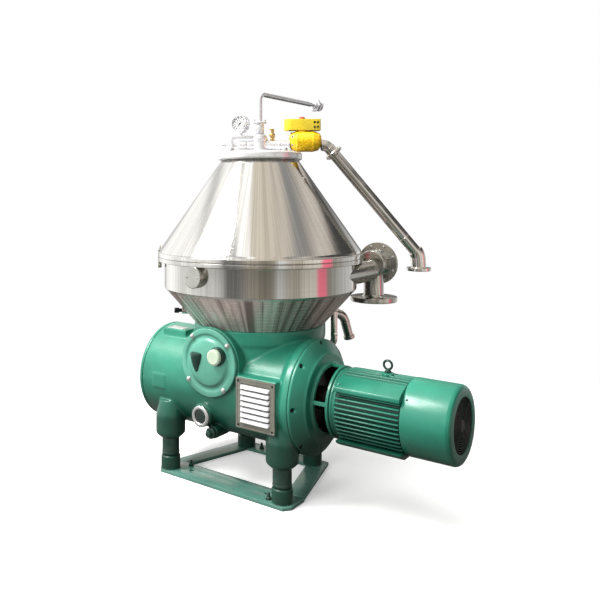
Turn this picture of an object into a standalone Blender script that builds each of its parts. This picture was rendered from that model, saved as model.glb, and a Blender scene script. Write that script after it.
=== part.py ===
"""Disc-stack cream separator: hood, bowl, gear case, motor, pipework and base.

Metres, +Z up.  The drive line runs along X towards the motor and the front of the
machine faces -Y.  Sub-parts are laid out from the foot of the bowl spindle's axis;
a finished part is then moved to SPINDLE_AT, so that the origin is the middle of the
footprint, on the floor.
"""
from math import atan2, cos, pi, radians, sin, sqrt, tau

import bpy
from mathutils import Matrix, Vector

GAP = 0.0004
SPINDLE_AT = Vector((-0.204, -0.031, 0.0))

# Drive line
DRIVE_Y = -0.080
DRIVE_Z = 0.338
CASE_R = 0.1825
CASE_LEFT = -0.362
CASE_RIGHT = 0.293
CASE_FLANGE_R = 0.197
GEAR_ROOM_R = 0.152
CLUTCH_ROOM_R = 0.160
WALL_LEFT = 0.045
WALL_RIGHT = 0.085
SHAFT_R = 0.018
WHEEL_TIP_R = 0.0625
WHEEL_TEETH = 30
WHEEL_HALF = 0.020
PINION_TIP_R = 0.0168
PINION_HALF = 0.022
PINION_TEETH = 8
TOOTH_DEPTH = 0.0035

# Neck and hood
NECK_R = 0.246
NECK_TOP = 0.557
PAN_BOTTOM = NECK_TOP + GAP
PAN_R = 0.360
PAN_SHOULDER = 0.688
RIM_R = 0.385
RIM_THICK = 0.016
RIM_SEAM = 0.8036
CONE_TOP = 1.162
CONE_TOP_R = 0.146
CONE_FOOT = 0.829
CONE_FOOT_R = 0.376
SHEET = 0.004
PLATE_R = 0.159
PLATE_TOP = 1.192
LUG_AZIMUTHS = (218, 128, 75)
LOCK_AZIMUTH = radians(218)
LOCK_Z = 0.595
DUCT_X = 0.318
DUCT_Z = 0.743
TRAP_X = 0.325
TRAP_Y = 0.300

# Cap, oil sight glass and drain on the front of the case
CAP_X = 0.018
CAP_Z = 0.474
SIGHT_X = -0.071
SIGHT_Z = 0.246
SIGHT_FACE = 0.260
DRAIN_X = -0.036
DRAIN_Z = 0.190
DRAIN_FACE = 0.246

# Base
RAIL_THICK = 0.012
FOOT_R = 0.0356
FOOT_TOP = 0.062
POST_R = 0.0330
SLEEVE_R = 0.055
SLEEVE_BOTTOM = 0.129
POST_TOP = 0.152
FEET = {
    "front_left": (-0.249, -0.2260),
    "front_right": (0.242, -0.2225),
    "rear_right": (0.153, 0.130),
    "rear_left": (-0.153, 0.130),
}

# Motor
ADAPTER_END = 0.398
NECK_RING_R = 0.120
MOTOR_START = 0.398
FIN_START = 0.418
FIN_END = 0.640
MOTOR_R = 0.1227
MOTOR_CORE_R = 0.108
COWL_R = 0.1212
COWL_START = 0.6404
COWL_END = 0.793

# Pipework, laid out along the outlet direction
OUTLET_AZIMUTH = radians(37.75)
PIPE_R = 0.0215
ELBOW_R = 0.0275
HEAD_Z = 1.220
HEAD_R = 0.027
FEED_TOP = 1.415
GAUGE_Z = 1.300
VALVE_START = 0.112
VALVE_END = 0.232
VALVE_MIDDLE = 0.160
VALVE_TOP = 1.275

ENAMEL = (0.02, 0.24, 0.16)
STEEL = (0.72, 0.71, 0.68)
DARK_STEEL = (0.30, 0.31, 0.32)
BLACK = (0.02, 0.02, 0.02)
YELLOW = (0.90, 0.62, 0.02)
BRASS = (0.78, 0.57, 0.23)
WHITE = (0.90, 0.90, 0.86)


# ---------------------------------------------------------------- tools

def clear_scene():
    for item in list(bpy.data.objects):
        bpy.data.objects.remove(item)


def paint(name, colour, metallic=0.0, roughness=0.4):
    mat = bpy.data.materials.new(name)
    mat.use_nodes = True
    shader = mat.node_tree.nodes["Principled BSDF"]
    shader.inputs["Base Color"].default_value = (*colour, 1.0)
    shader.inputs["Metallic"].default_value = metallic
    shader.inputs["Roughness"].default_value = roughness
    mat.diffuse_color = (*colour, 1.0)
    return mat


def signed_volume(points, faces):
    total = 0.0
    for face in faces:
        first = points[face[0]]
        for index in range(1, len(face) - 1):
            total += first.dot(points[face[index]].cross(points[face[index + 1]]))
    return total / 6.0


def solid(points, faces):
    """A hidden-name object holding one closed shell, facing out."""
    points = [Vector(point) for point in points]
    if signed_volume(points, faces) < 0.0:
        faces = [tuple(reversed(face)) for face in faces]
    mesh = bpy.data.meshes.new("shell")
    mesh.from_pydata(points, [], faces)
    mesh.validate()
    item = bpy.data.objects.new("shell", mesh)
    bpy.context.collection.objects.link(item)
    return item


def finish(item, name, colour, metallic=0.0, roughness=0.4, origin=(0.0, 0.0, 0.0)):
    """Name a shell, paint it, smooth it and set its origin."""
    item.name = name
    item.data.name = name
    item.data.materials.clear()
    item.data.materials.append(paint(name + "_paint", colour, metallic, roughness))
    item.data.transform(Matrix.Translation(-Vector(origin)))
    item.location = Vector(origin) + SPINDLE_AT
    item.data.shade_smooth()
    item.data.set_sharp_from_angle(angle=radians(35))
    return item


def combine(base, tools, operation):
    """Boolean the tool shells into base and remove them."""
    for tool in tools:
        step = base.modifiers.new("step", 'BOOLEAN')
        step.operation = operation
        step.solver = 'EXACT'
        step.object = tool
    graph = bpy.context.evaluated_depsgraph_get()
    mesh = bpy.data.meshes.new_from_object(base.evaluated_get(graph))
    base.modifiers.clear()
    base.data = mesh
    for tool in tools:
        bpy.data.objects.remove(tool)
    return base


def add(base, *tools):
    return combine(base, tools, 'UNION')


def cut(base, *tools):
    return combine(base, tools, 'DIFFERENCE')


def frame_of(axis, at):
    """Matrix that stands a Z-built shape along axis with its base at the point."""
    turn = Vector((0.0, 0.0, 1.0)).rotation_difference(Vector(axis).normalized())
    return Matrix.Translation(Vector(at)) @ turn.to_matrix().to_4x4()


def loft(rings, closed_ends=True):
    """Skin equal-length rings; the ends are capped, or the last meets the first."""
    count = len(rings[0])
    points = [point for ring in rings for point in ring]
    faces = []
    spans = len(rings) - 1 if closed_ends else len(rings)
    for row in range(spans):
        low = row * count
        high = ((row + 1) % len(rings)) * count
        for col in range(count):
            step = (col + 1) % count
            faces.append((low + col, low + step, high + step, high + col))
    if closed_ends:
        faces.append(tuple(range(count - 1, -1, -1)))
        faces.append(tuple(range((len(rings) - 1) * count, len(rings) * count)))
    return solid(points, faces)


def turned(profile, axis=(0, 0, 1), at=(0, 0, 0), sides=26):
    """Revolve (radius, height) pairs; an open profile starts and ends on the axis."""
    place = frame_of(axis, at)
    rings = []
    solid_core = profile[0][0] == 0.0
    body = profile[1:-1] if solid_core else profile
    for radius, height in body:
        ring = [Vector((radius * cos(tau * k / sides), radius * sin(tau * k / sides), height))
                for k in range(sides)]
        rings.append([place @ point for point in ring])
    if not solid_core:
        return loft(rings, closed_ends=False)
    return loft(rings)


def rod(radius, length, axis=(0, 0, 1), at=(0, 0, 0), sides=16):
    return turned([(0, 0), (radius, 0), (radius, length), (0, length)], axis, at, sides)


def tube(outer, inner, length, axis=(0, 0, 1), at=(0, 0, 0), sides=16):
    return turned([(outer, 0), (outer, length), (inner, length), (inner, 0)], axis, at, sides)


def prism(outline, low, high):
    """Extrude an XY outline between two heights."""
    return loft([[Vector((x, y, low)) for x, y in outline],
                 [Vector((x, y, high)) for x, y in outline]])


def block(low, high):
    outline = [(low[0], low[1]), (high[0], low[1]), (high[0], high[1]), (low[0], high[1])]
    return prism(outline, low[2], high[2])


def arc_path(corners, bends, steps=4):
    """Polyline through the corners with each inner corner rounded."""
    path = [Vector(corners[0])]
    for index in range(1, len(corners) - 1):
        here = Vector(corners[index])
        back = (Vector(corners[index - 1]) - here).normalized()
        ahead = (Vector(corners[index + 1]) - here).normalized()
        half = back.angle(ahead) / 2.0
        reach = bends[index - 1] * cos(half) / sin(half)
        centre = here + (back + ahead).normalized() * (bends[index - 1] / sin(half))
        start = here + back * reach - centre
        end = here + ahead * reach - centre
        swing = start.angle(end)
        for step in range(steps + 1):
            share = step / steps
            mix = start * sin((1.0 - share) * swing) + end * sin(share * swing)
            path.append(centre + mix / sin(swing))
    path.append(Vector(corners[-1]))
    return path


def pipe(path, outer, inner=0.0, sides=12):
    """Sweep a round pipe, hollow when it has an inner radius."""
    rings = []
    tangent = (path[1] - path[0]).normalized()
    side = tangent.orthogonal().normalized()
    for index, point in enumerate(path):
        before = path[max(index - 1, 0)]
        after = path[min(index + 1, len(path) - 1)]
        ahead = (after - before).normalized()
        side = (side - ahead * side.dot(ahead)).normalized()
        other = ahead.cross(side)
        rings.append((point, side.copy(), other))

    def ring(entry, radius):
        point, first, second = entry
        return [point + first * (radius * cos(tau * k / sides)) + second * (radius * sin(tau * k / sides))
                for k in range(sides)]

    outer_rings = [ring(entry, outer) for entry in rings]
    if inner <= 0.0:
        return loft(outer_rings)
    inner_rings = [ring(entry, inner) for entry in reversed(rings)]
    return loft(outer_rings + inner_rings, closed_ends=False)


def tooth_ring(teeth, tip, root, height, turn, place):
    """One cross-section of a toothed wheel, four points to a tooth."""
    ring = []
    pitch = tau / teeth
    for tooth in range(teeth):
        for share, radius in ((0.08, tip), (0.42, tip), (0.60, root), (0.90, root)):
            angle = turn + (tooth + share) * pitch
            ring.append(place @ Vector((radius * cos(angle), radius * sin(angle), height)))
    return ring


def round_ring(count, radius, height, place):
    return [place @ Vector((radius * cos(tau * k / count), radius * sin(tau * k / count), height))
            for k in range(count)]


def around(azimuth, radius, height):
    return Vector((radius * cos(azimuth), radius * sin(azimuth), height))


# ---------------------------------------------------------------- base

def rail_outer_x(y):
    return 0.272 - (y + 0.105) * 0.2656


def rail_inner_x(y):
    return 0.212 - (y + 0.144) * 0.2846


def base_rails():
    front_low = -0.262
    front_high = -0.155
    rear_low = 0.112
    rear_high = 0.178
    corner = front_low + 0.026
    front = prism([(-0.288, corner), (-0.268, front_low), (0.268, front_low), (0.288, corner),
                   (0.288, front_high), (-0.288, front_high)], 0.0, RAIL_THICK)
    anchors = [rod(0.007, 0.05, at=(side * 0.165, -0.200, -0.01), sides=10) for side in (-1, 1)]
    finish(cut(front, *anchors), "base_rail_front", ENAMEL)
    side_low = front_high + GAP
    for side, name in ((-1, "left"), (1, "right")):
        outline = [(side * rail_outer_x(side_low), side_low), (side * rail_outer_x(rear_high), rear_high),
                   (side * rail_inner_x(rear_high), rear_high), (side * rail_inner_x(side_low), side_low)]
        finish(prism(outline, 0.0, RAIL_THICK), "base_rail_" + name, ENAMEL)
    outline = [(-rail_inner_x(rear_low) + GAP, rear_low), (rail_inner_x(rear_low) - GAP, rear_low),
               (rail_inner_x(rear_high) - GAP, rear_high), (-rail_inner_x(rear_high) + GAP, rear_high)]
    finish(prism(outline, 0.0, RAIL_THICK), "base_rail_rear", ENAMEL)


def feet():
    floor = RAIL_THICK + GAP
    for name, (x, y) in FEET.items():
        cup = turned([(0, floor), (FOOT_R, floor), (FOOT_R, FOOT_TOP - 0.004), (FOOT_R - 0.004, FOOT_TOP),
                      (0.0285, FOOT_TOP), (0.0285, 0.040), (0, 0.040)], at=(x, y, 0), sides=12)
        finish(cup, "foot_cup_" + name, ENAMEL)
        post = turned([(0, 0.0404), (0.0281, 0.0404), (0.0281, 0.066), (POST_R, 0.068),
                       (POST_R, POST_TOP), (0, POST_TOP)], at=(x, y, 0), sides=12)
        finish(post, "leg_post_" + name, ENAMEL)


# ---------------------------------------------------------------- gear case

def gear_case():
    line = (0, DRIVE_Y, DRIVE_Z)
    body = turned([(0, CASE_LEFT), (CASE_R, CASE_LEFT), (CASE_R, 0.250), (CASE_FLANGE_R, 0.268),
                   (CASE_FLANGE_R, CASE_RIGHT), (0, CASE_RIGHT)], axis=(1, 0, 0), at=line, sides=32)
    column = turned([(0, 0.195), (0.170, 0.195), (0.2425, 0.370), (0.2425, 0.500), (NECK_R, 0.512),
                     (NECK_R, NECK_TOP), (0, NECK_TOP)], sides=32)
    cover_boss = rod(0.124, 0.100, axis=(0, 1, 0), at=(-0.029, -0.2672, 0.444), sides=26)
    louvre_box = block((0.094, -0.280, 0.245), (0.254, -0.100, 0.420))
    sight_boss = rod(0.039, 0.100, axis=(0, 1, 0), at=(SIGHT_X, -SIGHT_FACE, SIGHT_Z), sides=20)
    pocket_boss = rod(0.048, 0.080, at=(0, 0, 0.150), sides=20)
    drain_boss = rod(0.0225, 0.080, axis=(0, 1, 0), at=(DRAIN_X, -DRAIN_FACE, DRAIN_Z), sides=12)
    plate_pad = block((-0.330, -0.180, 0.440), (-0.215, -0.080, 0.519))
    side_pad = block((-0.306, -0.2640, 0.312), (-0.246, -0.200, 0.364))
    solids = [column, cover_boss, louvre_box, sight_boss, drain_boss, pocket_boss, plate_pad, side_pad]
    for name, (x, y) in FEET.items():
        top = 0.285 if y < 0 else 0.315
        solids.append(turned([(0, SLEEVE_BOTTOM), (POST_R + 0.005, SLEEVE_BOTTOM),
                              (SLEEVE_R, SLEEVE_BOTTOM + 0.016), (SLEEVE_R, top - 0.070),
                              (SLEEVE_R * 0.72, top - 0.015), (0, top)],
                             at=(x, y, 0), sides=14))
    body = add(body, *solids)
    reach = CASE_LEFT - 0.01
    rooms = [
        rod(GEAR_ROOM_R, WALL_LEFT - reach, axis=(1, 0, 0), at=(reach, DRIVE_Y, DRIVE_Z), sides=26),
        rod(CLUTCH_ROOM_R, 0.30, axis=(1, 0, 0), at=(WALL_RIGHT, DRIVE_Y, DRIVE_Z), sides=26),
        rod(0.0425, 0.10, axis=(1, 0, 0), at=(0.02, DRIVE_Y, DRIVE_Z), sides=16),
        turned([(0, 0.163), (0.033, 0.163), (0.033, 0.240), (0.062, 0.240), (0.062, 0.470),
                (0.056, 0.470), (0.056, 0.530), (0.190, 0.530), (0.190, 0.60), (0, 0.60)], sides=26),
        block((0.114, -0.300, 0.270), (0.234, -0.150, 0.395)),
        rod(0.095, 0.200, axis=(0, 1, 0), at=(-0.029, -0.300, 0.444), sides=20),
        rod(0.022, 0.110, axis=(0, 1, 0), at=(SIGHT_X, -0.300, SIGHT_Z), sides=16),
        rod(0.009, 0.100, axis=(0, 1, 0), at=(DRAIN_X, -0.300, DRAIN_Z), sides=10),
        rod(CASE_FLANGE_R + 0.001, 0.060, axis=(1, 0, 0), at=(CASE_RIGHT, DRIVE_Y, DRIVE_Z), sides=32),
        turned([(0, NECK_TOP), (NECK_R, NECK_TOP), (0.2770, 0.590), (0, 0.590)], sides=32),
    ]
    for name, (x, y) in FEET.items():
        rooms.append(rod(POST_R + GAP, POST_TOP + GAP - 0.08, at=(x, y, 0.08), sides=12))
    finish(cut(body, *rooms), "gear_case", ENAMEL)


def case_end_cover():
    outer = CASE_LEFT - GAP
    cover = turned([(0, -0.379), (0.060, -0.379), (0.075, -0.372), (0.135, -0.372), (0.150, -0.378),
                    (CASE_R - 0.005, -0.378), (CASE_R, -0.374), (CASE_R, outer), (0.060, outer),
                    (0.060, -0.330), (0.0335, -0.330), (0.0335, -0.360), (0, -0.360)],
                   axis=(1, 0, 0), at=(0, DRIVE_Y, DRIVE_Z), sides=32)
    finish(cover, "case_end_cover", ENAMEL)


def front_cover():
    seat = 0.2672 + GAP
    cover = turned([(0, seat), (0.120, seat), (0.120, 0.278), (0.117, 0.281), (0.102, 0.281),
                    (0.095, 0.277), (0.087, 0.277), (0.076, 0.286), (0.040, 0.289), (0, 0.290)],
                   axis=(0, -1, 0), at=(-0.029, 0, 0.444), sides=30)
    spout = turned([(0, 0), (0.007, 0), (0.021, 0.055), (0.025, 0.078), (0.022, 0.084), (0, 0.084)],
                   at=(-0.074, -0.283, 0.393), sides=12)
    collar = turned([(0, 0), (0.033, 0), (0.031, 0.017), (0, 0.017)], axis=(0, -1, 0),
                    at=(CAP_X, -0.281, CAP_Z), sides=12)
    cover = add(cover, spout, collar)
    bolts = []
    for turn in range(4):
        angle = radians(39 + 90 * turn)
        bolts.append(turned([(0, 0), (0.009, 0), (0.009, 0.005), (0.006, 0.008), (0, 0.008)],
                            axis=(0, -1, 0), sides=6,
                            at=(-0.029 + 0.1095 * cos(angle), -0.2805, 0.444 + 0.1095 * sin(angle))))
    cover = add(cover, *bolts)
    cover = cut(cover, rod(0.0065, 0.06, axis=(0, 1, 0), at=(CAP_X, -0.31, CAP_Z), sides=10))
    finish(cover, "front_cover", ENAMEL)


def rev_counter_cap():
    at = (CAP_X, -0.2985, CAP_Z)
    cap = turned([(0, -0.030), (0.0055, -0.030), (0.0055, 0), (0.027, 0), (0.028, 0.003),
                  (0.028, 0.010), (0.024, 0.015), (0, 0.015)], axis=(0, -1, 0), at=at, sides=12)
    finish(cap, "rev_counter_cap", WHITE, roughness=0.35, origin=at)


def sight_glass():
    at = (SIGHT_X, -SIGHT_FACE - GAP, SIGHT_Z)
    ring = turned([(0.038, 0), (0.038, 0.010), (0.034, 0.014), (0.027, 0.014), (0.024, 0.010), (0.024, 0)],
                  axis=(0, -1, 0), at=at, sides=20)
    finish(ring, "sight_ring", STEEL, 1.0, 0.3)
    glass = turned([(0, 0.001), (0.0236, 0.001), (0.0236, 0.007), (0.020, 0.010), (0, 0.010)],
                   axis=(0, -1, 0), at=at, sides=20)
    finish(glass, "sight_glass", (0.35, 0.42, 0.36), 0.0, 0.1)
    plug = turned([(0, -0.040), (0.0082, -0.040), (0.0082, 0), (0.020, 0), (0.020, 0.012),
                   (0.013, 0.012), (0.013, 0.026), (0, 0.026)], axis=(0, -1, 0),
                  at=(DRAIN_X, -DRAIN_FACE - GAP, DRAIN_Z), sides=10)
    finish(plug, "drain_plug", ENAMEL)


def louvre_panel():
    face = -0.280 - GAP
    panel = block((0.096, face - 0.004, 0.248), (0.252, face, 0.417))
    for row in range(7):
        z = 0.2765 + 0.0187 * row
        panel = cut(panel, block((0.119, face - 0.02, z - 0.004), (0.229, face + 0.01, z + 0.006)))
        low = Vector((0, face - 0.010, z - 0.0075))
        slat = loft([[Vector((x, low.y, low.z)), Vector((x, low.y + 0.003, low.z)),
                      Vector((x, face - 0.0005, z + 0.0075)), Vector((x, face - 0.0035, z + 0.0075))]
                     for x in (0.115, 0.233)])
        panel = add(panel, slat)
    finish(panel, "louvre_panel", (0.78, 0.74, 0.66), roughness=0.45)


# ---------------------------------------------------------------- motor side

def motor_adapter():
    """Conical cover of the clutch room with the windowed neck the motor is bolted to."""
    start = CASE_RIGHT + GAP
    ring = turned([(CASE_FLANGE_R, start), (CASE_FLANGE_R, 0.302), (0.157, 0.330), (0.150, 0.337),
                   (0.127, 0.338), (NECK_RING_R, 0.344), (NECK_RING_R, ADAPTER_END), (0.070, ADAPTER_END),
                   (0.070, 0.390), (0.110, 0.390), (0.110, 0.340), (0.146, 0.326), (CLUTCH_ROOM_R, 0.312),
                   (CLUTCH_ROOM_R, start)],
                  axis=(1, 0, 0), at=(0, DRIVE_Y, DRIVE_Z), sides=32)
    cuts = []
    for turn in range(4):
        place = Matrix.Translation((0, DRIVE_Y, DRIVE_Z)) @ Matrix.Rotation(radians(37 + 90 * turn), 4, 'X')
        half = radians(42)
        rings = []
        for x in (0.346, 0.389):
            inner = [Vector((x, 0.085 * cos(a), 0.085 * sin(a))) for a in spread(-half, half, 4)]
            outer = [Vector((x, 0.145 * cos(a), 0.145 * sin(a))) for a in spread(half, -half, 4)]
            rings.append([place @ point for point in inner + outer])
        cuts.append(loft(rings))
    finish(cut(ring, *cuts), "motor_adapter", ENAMEL)


def spread(first, last, count):
    return [first + (last - first) * k / (count - 1) for k in range(count)]


def fin_outline():
    """Half-round barrel as (y, z) pairs: level fins, smooth shoulders, upright fins on top."""
    right = [(0.052, -0.1165), (0.074, -0.1165), (0.100, -0.104), (0.107, -0.0945), (0.095, -0.0935)]
    for row in range(-6, 5):
        z = row * 0.0143
        for edge, radius in ((-0.002, MOTOR_CORE_R), (-0.002, MOTOR_R),
                             (0.002, MOTOR_R), (0.002, MOTOR_CORE_R)):
            right.append((sqrt(radius * radius - (z + edge) ** 2), z + edge))
    right += [(0.0900, 0.0640), (0.1165, 0.0640), (0.1185, 0.0660), (0.1185, 0.0760), (0.1165, 0.0800),
              (0.0980, 0.0925), (0.0600, 0.1085)]
    crown = []
    for row in range(3, -4, -1):
        y = row * 0.0150
        for edge, radius in ((0.0017, MOTOR_CORE_R), (0.0017, MOTOR_R - 0.003),
                             (-0.0017, MOTOR_R - 0.003), (-0.0017, MOTOR_CORE_R)):
            crown.append((y + edge, sqrt(radius * radius - (y + edge) ** 2)))
    left = [(-y, z) for y, z in reversed(right)]
    return right + crown + left


def motor():
    line = (0, DRIVE_Y, DRIVE_Z)
    outline = fin_outline()
    barrel = loft([[Vector((x, DRIVE_Y + y, DRIVE_Z + z)) for y, z in outline]
                   for x in (FIN_START + GAP, FIN_END)])
    boss = rod(0.022, 0.025, at=(0.552, DRIVE_Y, DRIVE_Z + 0.100), sides=12)
    barrel = cut(add(barrel, boss),
                 rod(0.092, 0.30, axis=(1, 0, 0), at=(0.40, DRIVE_Y, DRIVE_Z), sides=20),
                 block((0.475, DRIVE_Y - 0.045, DRIVE_Z - 0.15), (0.595, DRIVE_Y + 0.045, DRIVE_Z - 0.108)),
                 rod(0.0064, 0.050, at=(0.552, DRIVE_Y, DRIVE_Z + 0.098), sides=8))
    finish(barrel, "motor_frame", ENAMEL)
    bell = turned([(0.114, MOTOR_START + GAP), (0.114, 0.406), (0.110, 0.409), (0.110, FIN_START),
                   (0.091, FIN_START), (0.091, 0.4145), (0.0285, 0.4145), (0.0285, MOTOR_START + GAP)],
                  axis=(1, 0, 0), at=line, sides=26)
    finish(bell, "motor_end_bell", ENAMEL)
    eye = turned([(0.018, -0.004), (0.018, 0.004), (0.010, 0.004), (0.010, -0.004)],
                 axis=(0, 1, 0), at=(0.552, DRIVE_Y, DRIVE_Z + 0.1475), sides=12)
    stem = turned([(0, 0.101), (0.0055, 0.101), (0.0055, 0.1254), (0.011, 0.1254), (0.011, 0.129),
                   (0.005, 0.132), (0, 0.132)], at=(0.552, DRIVE_Y, DRIVE_Z), sides=8)
    finish(add(eye, stem), "lifting_eye", ENAMEL)
    box = block((0.490, DRIVE_Y + 0.1232, 0.300), (0.600, DRIVE_Y + 0.190, 0.400))
    finish(box, "terminal_box", ENAMEL)


def fan_cowl():
    cowl = turned([(COWL_R, COWL_START), (COWL_R, 0.778), (0.116, 0.788), (0.110, COWL_END),
                   (0.086, COWL_END), (0.086, 0.789), (0.108, 0.789), (0.118, 0.776), (0.118, COWL_START)],
                  axis=(1, 0, 0), at=(0, DRIVE_Y, DRIVE_Z), sides=30)
    grille = rod(0.0875, 0.003, axis=(1, 0, 0), at=(0.7885, DRIVE_Y, DRIVE_Z), sides=20)
    slots = []
    for row in range(-3, 4):
        z = row * 0.0205
        half = sqrt(0.079 ** 2 - z * z)
        slots.append(block((0.780, DRIVE_Y - half, DRIVE_Z + z - 0.0065),
                           (0.800, DRIVE_Y + half, DRIVE_Z + z + 0.0065)))
    grille = cut(grille, *slots)
    finish(add(cowl, grille), "fan_cowl", ENAMEL)


def motor_rotor():
    line = (0, DRIVE_Y, DRIVE_Z)
    shaft = turned([(0, 0.236), (0.016, 0.236), (0.016, 0.246), (0.095, 0.246), (0.098, 0.252),
                    (0.098, 0.300), (0.040, 0.306), (0.040, 0.345), (0.026, 0.345), (0.026, 0.440),
                    (0.087, 0.440), (0.087, 0.610), (0.020, 0.610), (0.020, 0.735), (0, 0.735)],
                   axis=(1, 0, 0), at=line, sides=20)
    finish(shaft, "motor_shaft", DARK_STEEL, 1.0, 0.4, origin=line)
    fan = turned([(0.0206, 0.690), (0.035, 0.690), (0.035, 0.722), (0.105, 0.722), (0.105, 0.725),
                  (0.0206, 0.725)], axis=(1, 0, 0), at=line, sides=16)
    blades = []
    for turn in range(6):
        blade = block((0.695, -0.002, 0.030), (0.7235, 0.002, 0.104))
        blade.data.transform(Matrix.Translation((0, DRIVE_Y, DRIVE_Z)) @ Matrix.Rotation(tau * turn / 6, 4, 'X'))
        blades.append(blade)
    finish(add(fan, *blades), "motor_fan", DARK_STEEL, 0.5, 0.5, origin=line)


# ---------------------------------------------------------------- drive shaft

def drive_line():
    line = (0, DRIVE_Y, DRIVE_Z)
    shaft = turned([(0, -0.352), (SHAFT_R - 0.002, -0.352), (SHAFT_R, -0.350), (SHAFT_R, 0.195), (0, 0.195)],
                   axis=(1, 0, 0), at=line, sides=16)
    finish(shaft, "drive_shaft", STEEL, 1.0, 0.3, origin=line)
    place = frame_of((1, 0, 0), line)
    count = 4 * WHEEL_TEETH
    bore = SHAFT_R + GAP
    root = WHEEL_TIP_R - TOOTH_DEPTH
    twist = WHEEL_HALF / (root + TOOTH_DEPTH / 2)
    rings = [tooth_ring(WHEEL_TEETH, WHEEL_TIP_R, root, share * WHEEL_HALF, share * twist, place)
             for share in (-1, 0, 1)]
    rings += [round_ring(count, bore, WHEEL_HALF, place), round_ring(count, bore, -WHEEL_HALF, place)]
    finish(loft(rings, closed_ends=False), "gear_wheel", BRASS, 1.0, 0.35, origin=line)
    drum = turned([(bore, 0.120), (0.045, 0.120), (0.045, 0.165), (0.112, 0.172), (0.112, 0.318),
                   (0.102, 0.318), (0.102, 0.184), (0.040, 0.180), (bore, 0.180)],
                  axis=(1, 0, 0), at=line, sides=20)
    finish(drum, "clutch_drum", DARK_STEEL, 1.0, 0.45, origin=line)
    for name, x in (("left", -0.352), ("right", 0.047)):
        outer = 0.0331 if name == "left" else 0.0421
        ring = tube(outer, SHAFT_R + GAP, 0.018, axis=(1, 0, 0), at=(x, DRIVE_Y, DRIVE_Z), sides=16)
        finish(ring, "shaft_bearing_" + name, STEEL, 1.0, 0.25)


# ---------------------------------------------------------------- bowl

def bowl_spindle():
    count = 4 * PINION_TEETH
    flat = Matrix.Identity(4)
    root = PINION_TIP_R - TOOTH_DEPTH
    low = DRIVE_Z - PINION_HALF
    high = DRIVE_Z + PINION_HALF
    neck = root - 0.0015
    rings = [round_ring(count, 0.012, 0.168, flat), round_ring(count, 0.012, 0.250, flat),
             round_ring(count, neck, 0.256, flat), round_ring(count, neck, low - 0.001, flat)]
    for share in spread(-1.0, 1.0, 5):
        rings.append(tooth_ring(PINION_TEETH, PINION_TIP_R, root, DRIVE_Z + share * PINION_HALF,
                                share * PINION_HALF / (root + TOOTH_DEPTH / 2), flat))
    rings += [round_ring(count, neck, high + 0.001, flat), round_ring(count, 0.0125, 0.400, flat),
              round_ring(count, 0.024, 0.412, flat), round_ring(count, 0.024, 0.560, flat),
              round_ring(count, 0.020, 0.640, flat), round_ring(count, 0.015, 0.700, flat)]
    finish(loft(rings), "bowl_spindle", STEEL, 1.0, 0.25)
    lower = tube(0.0324, 0.0125, 0.022, at=(0, 0, 0.176), sides=18)
    finish(lower, "spindle_bearing_bottom", STEEL, 1.0, 0.25)
    upper = tube(0.0552, 0.0248, 0.046, at=(0, 0, 0.478), sides=18)
    finish(upper, "spindle_bearing_top", STEEL, 1.0, 0.25)


def bowl_shells():
    body = turned([(0.0204, 0.6403), (0.045, 0.612), (0.060, 0.612), (0.070, 0.625), (0.200, 0.655),
                   (0.228, 0.675), (0.235, 0.690), (0.235, 0.835), (0.214, 0.835), (0.214, 0.708),
                   (0.196, 0.690), (0.060, 0.672), (0.040, 0.712), (0.0154, 0.712), (0.0154, 0.7003),
                   (0.0204, 0.6406)], sides=24)
    ports = []
    for turn in range(4):
        port = block((0.200, -0.018, 0.7525), (0.245, 0.018, 0.7615))
        port.data.transform(Matrix.Rotation(tau * turn / 4, 4, 'Z'))
        ports.append(port)
    finish(cut(body, *ports), "bowl_body", STEEL, 1.0, 0.25)
    cover = turned([(0.2136, 0.762), (0.2136, 0.8445), (0.209, 0.852), (0.064, 1.010), (0.056, 1.022),
                    (0.056, 1.062), (0.020, 1.066), (0.020, 1.061), (0.050, 1.057), (0.050, 1.018),
                    (0.058, 1.004), (0.203, 0.845), (0.2046, 0.762)], sides=24)
    finish(cover, "bowl_cover", STEEL, 1.0, 0.25)
    ring = turned([(0.2355 + GAP, 0.800), (0.246, 0.800), (0.248, 0.803), (0.248, 0.858), (0.243, 0.862),
                   (0.214, 0.862), (0.214, 0.8485), (0.2148, 0.8460), (0.2148, 0.8364),
                   (0.2355 + GAP, 0.8354)], sides=24)
    finish(ring, "bowl_lock_ring", STEEL, 1.0, 0.3)


def bowl_inside():
    stack_out = []
    for leaf in range(7):
        base = 0.742 + 0.026 * leaf
        outer = min(0.186, 0.191 - 0.912 * (base + 0.020 - 0.845))
        stack_out.append((outer, base))
        stack_out.append((outer - 0.016, base + 0.020))
    top = stack_out[-1][1]
    stack_in = [(0.0765, top + 0.004), (0.0765, 0.812), (0.140, 0.742)]
    finish(turned(stack_out + stack_in, sides=18), "disc_stack", STEEL, 1.0, 0.35)
    distributor = turned([(0.041, 0.724), (0.150, 0.724), (0.150, 0.728), (0.0757, 0.808),
                          (0.0757, 0.924), (0.034, 0.960), (0.034, 1.006), (0.030, 1.006),
                          (0.030, 0.958), (0.0700, 0.918), (0.0700, 0.806), (0.138, 0.730), (0.041, 0.730)],
                         sides=18)
    finish(distributor, "distributor", STEEL, 1.0, 0.3)
    bottom = turned([(0.062, 0.682), (0.190, 0.7005), (0.2045, 0.715), (0.2130, 0.716), (0.2130, 0.7611),
                     (0.206, 0.7611), (0.204, 0.735), (0.192, 0.718), (0.062, 0.700)], sides=24)
    finish(bottom, "sliding_bottom", STEEL, 1.0, 0.3, origin=(0, 0, 0.69))
    paring = turned([(0.0200, 1.028), (0.044, 1.028), (0.044, 1.040), (0.0192, 1.040), (0.0192, 1.190),
                     (0.0160, 1.190), (0.0160, 1.028)], sides=16)
    finish(paring, "paring_disc", STEEL, 1.0, 0.3)


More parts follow.
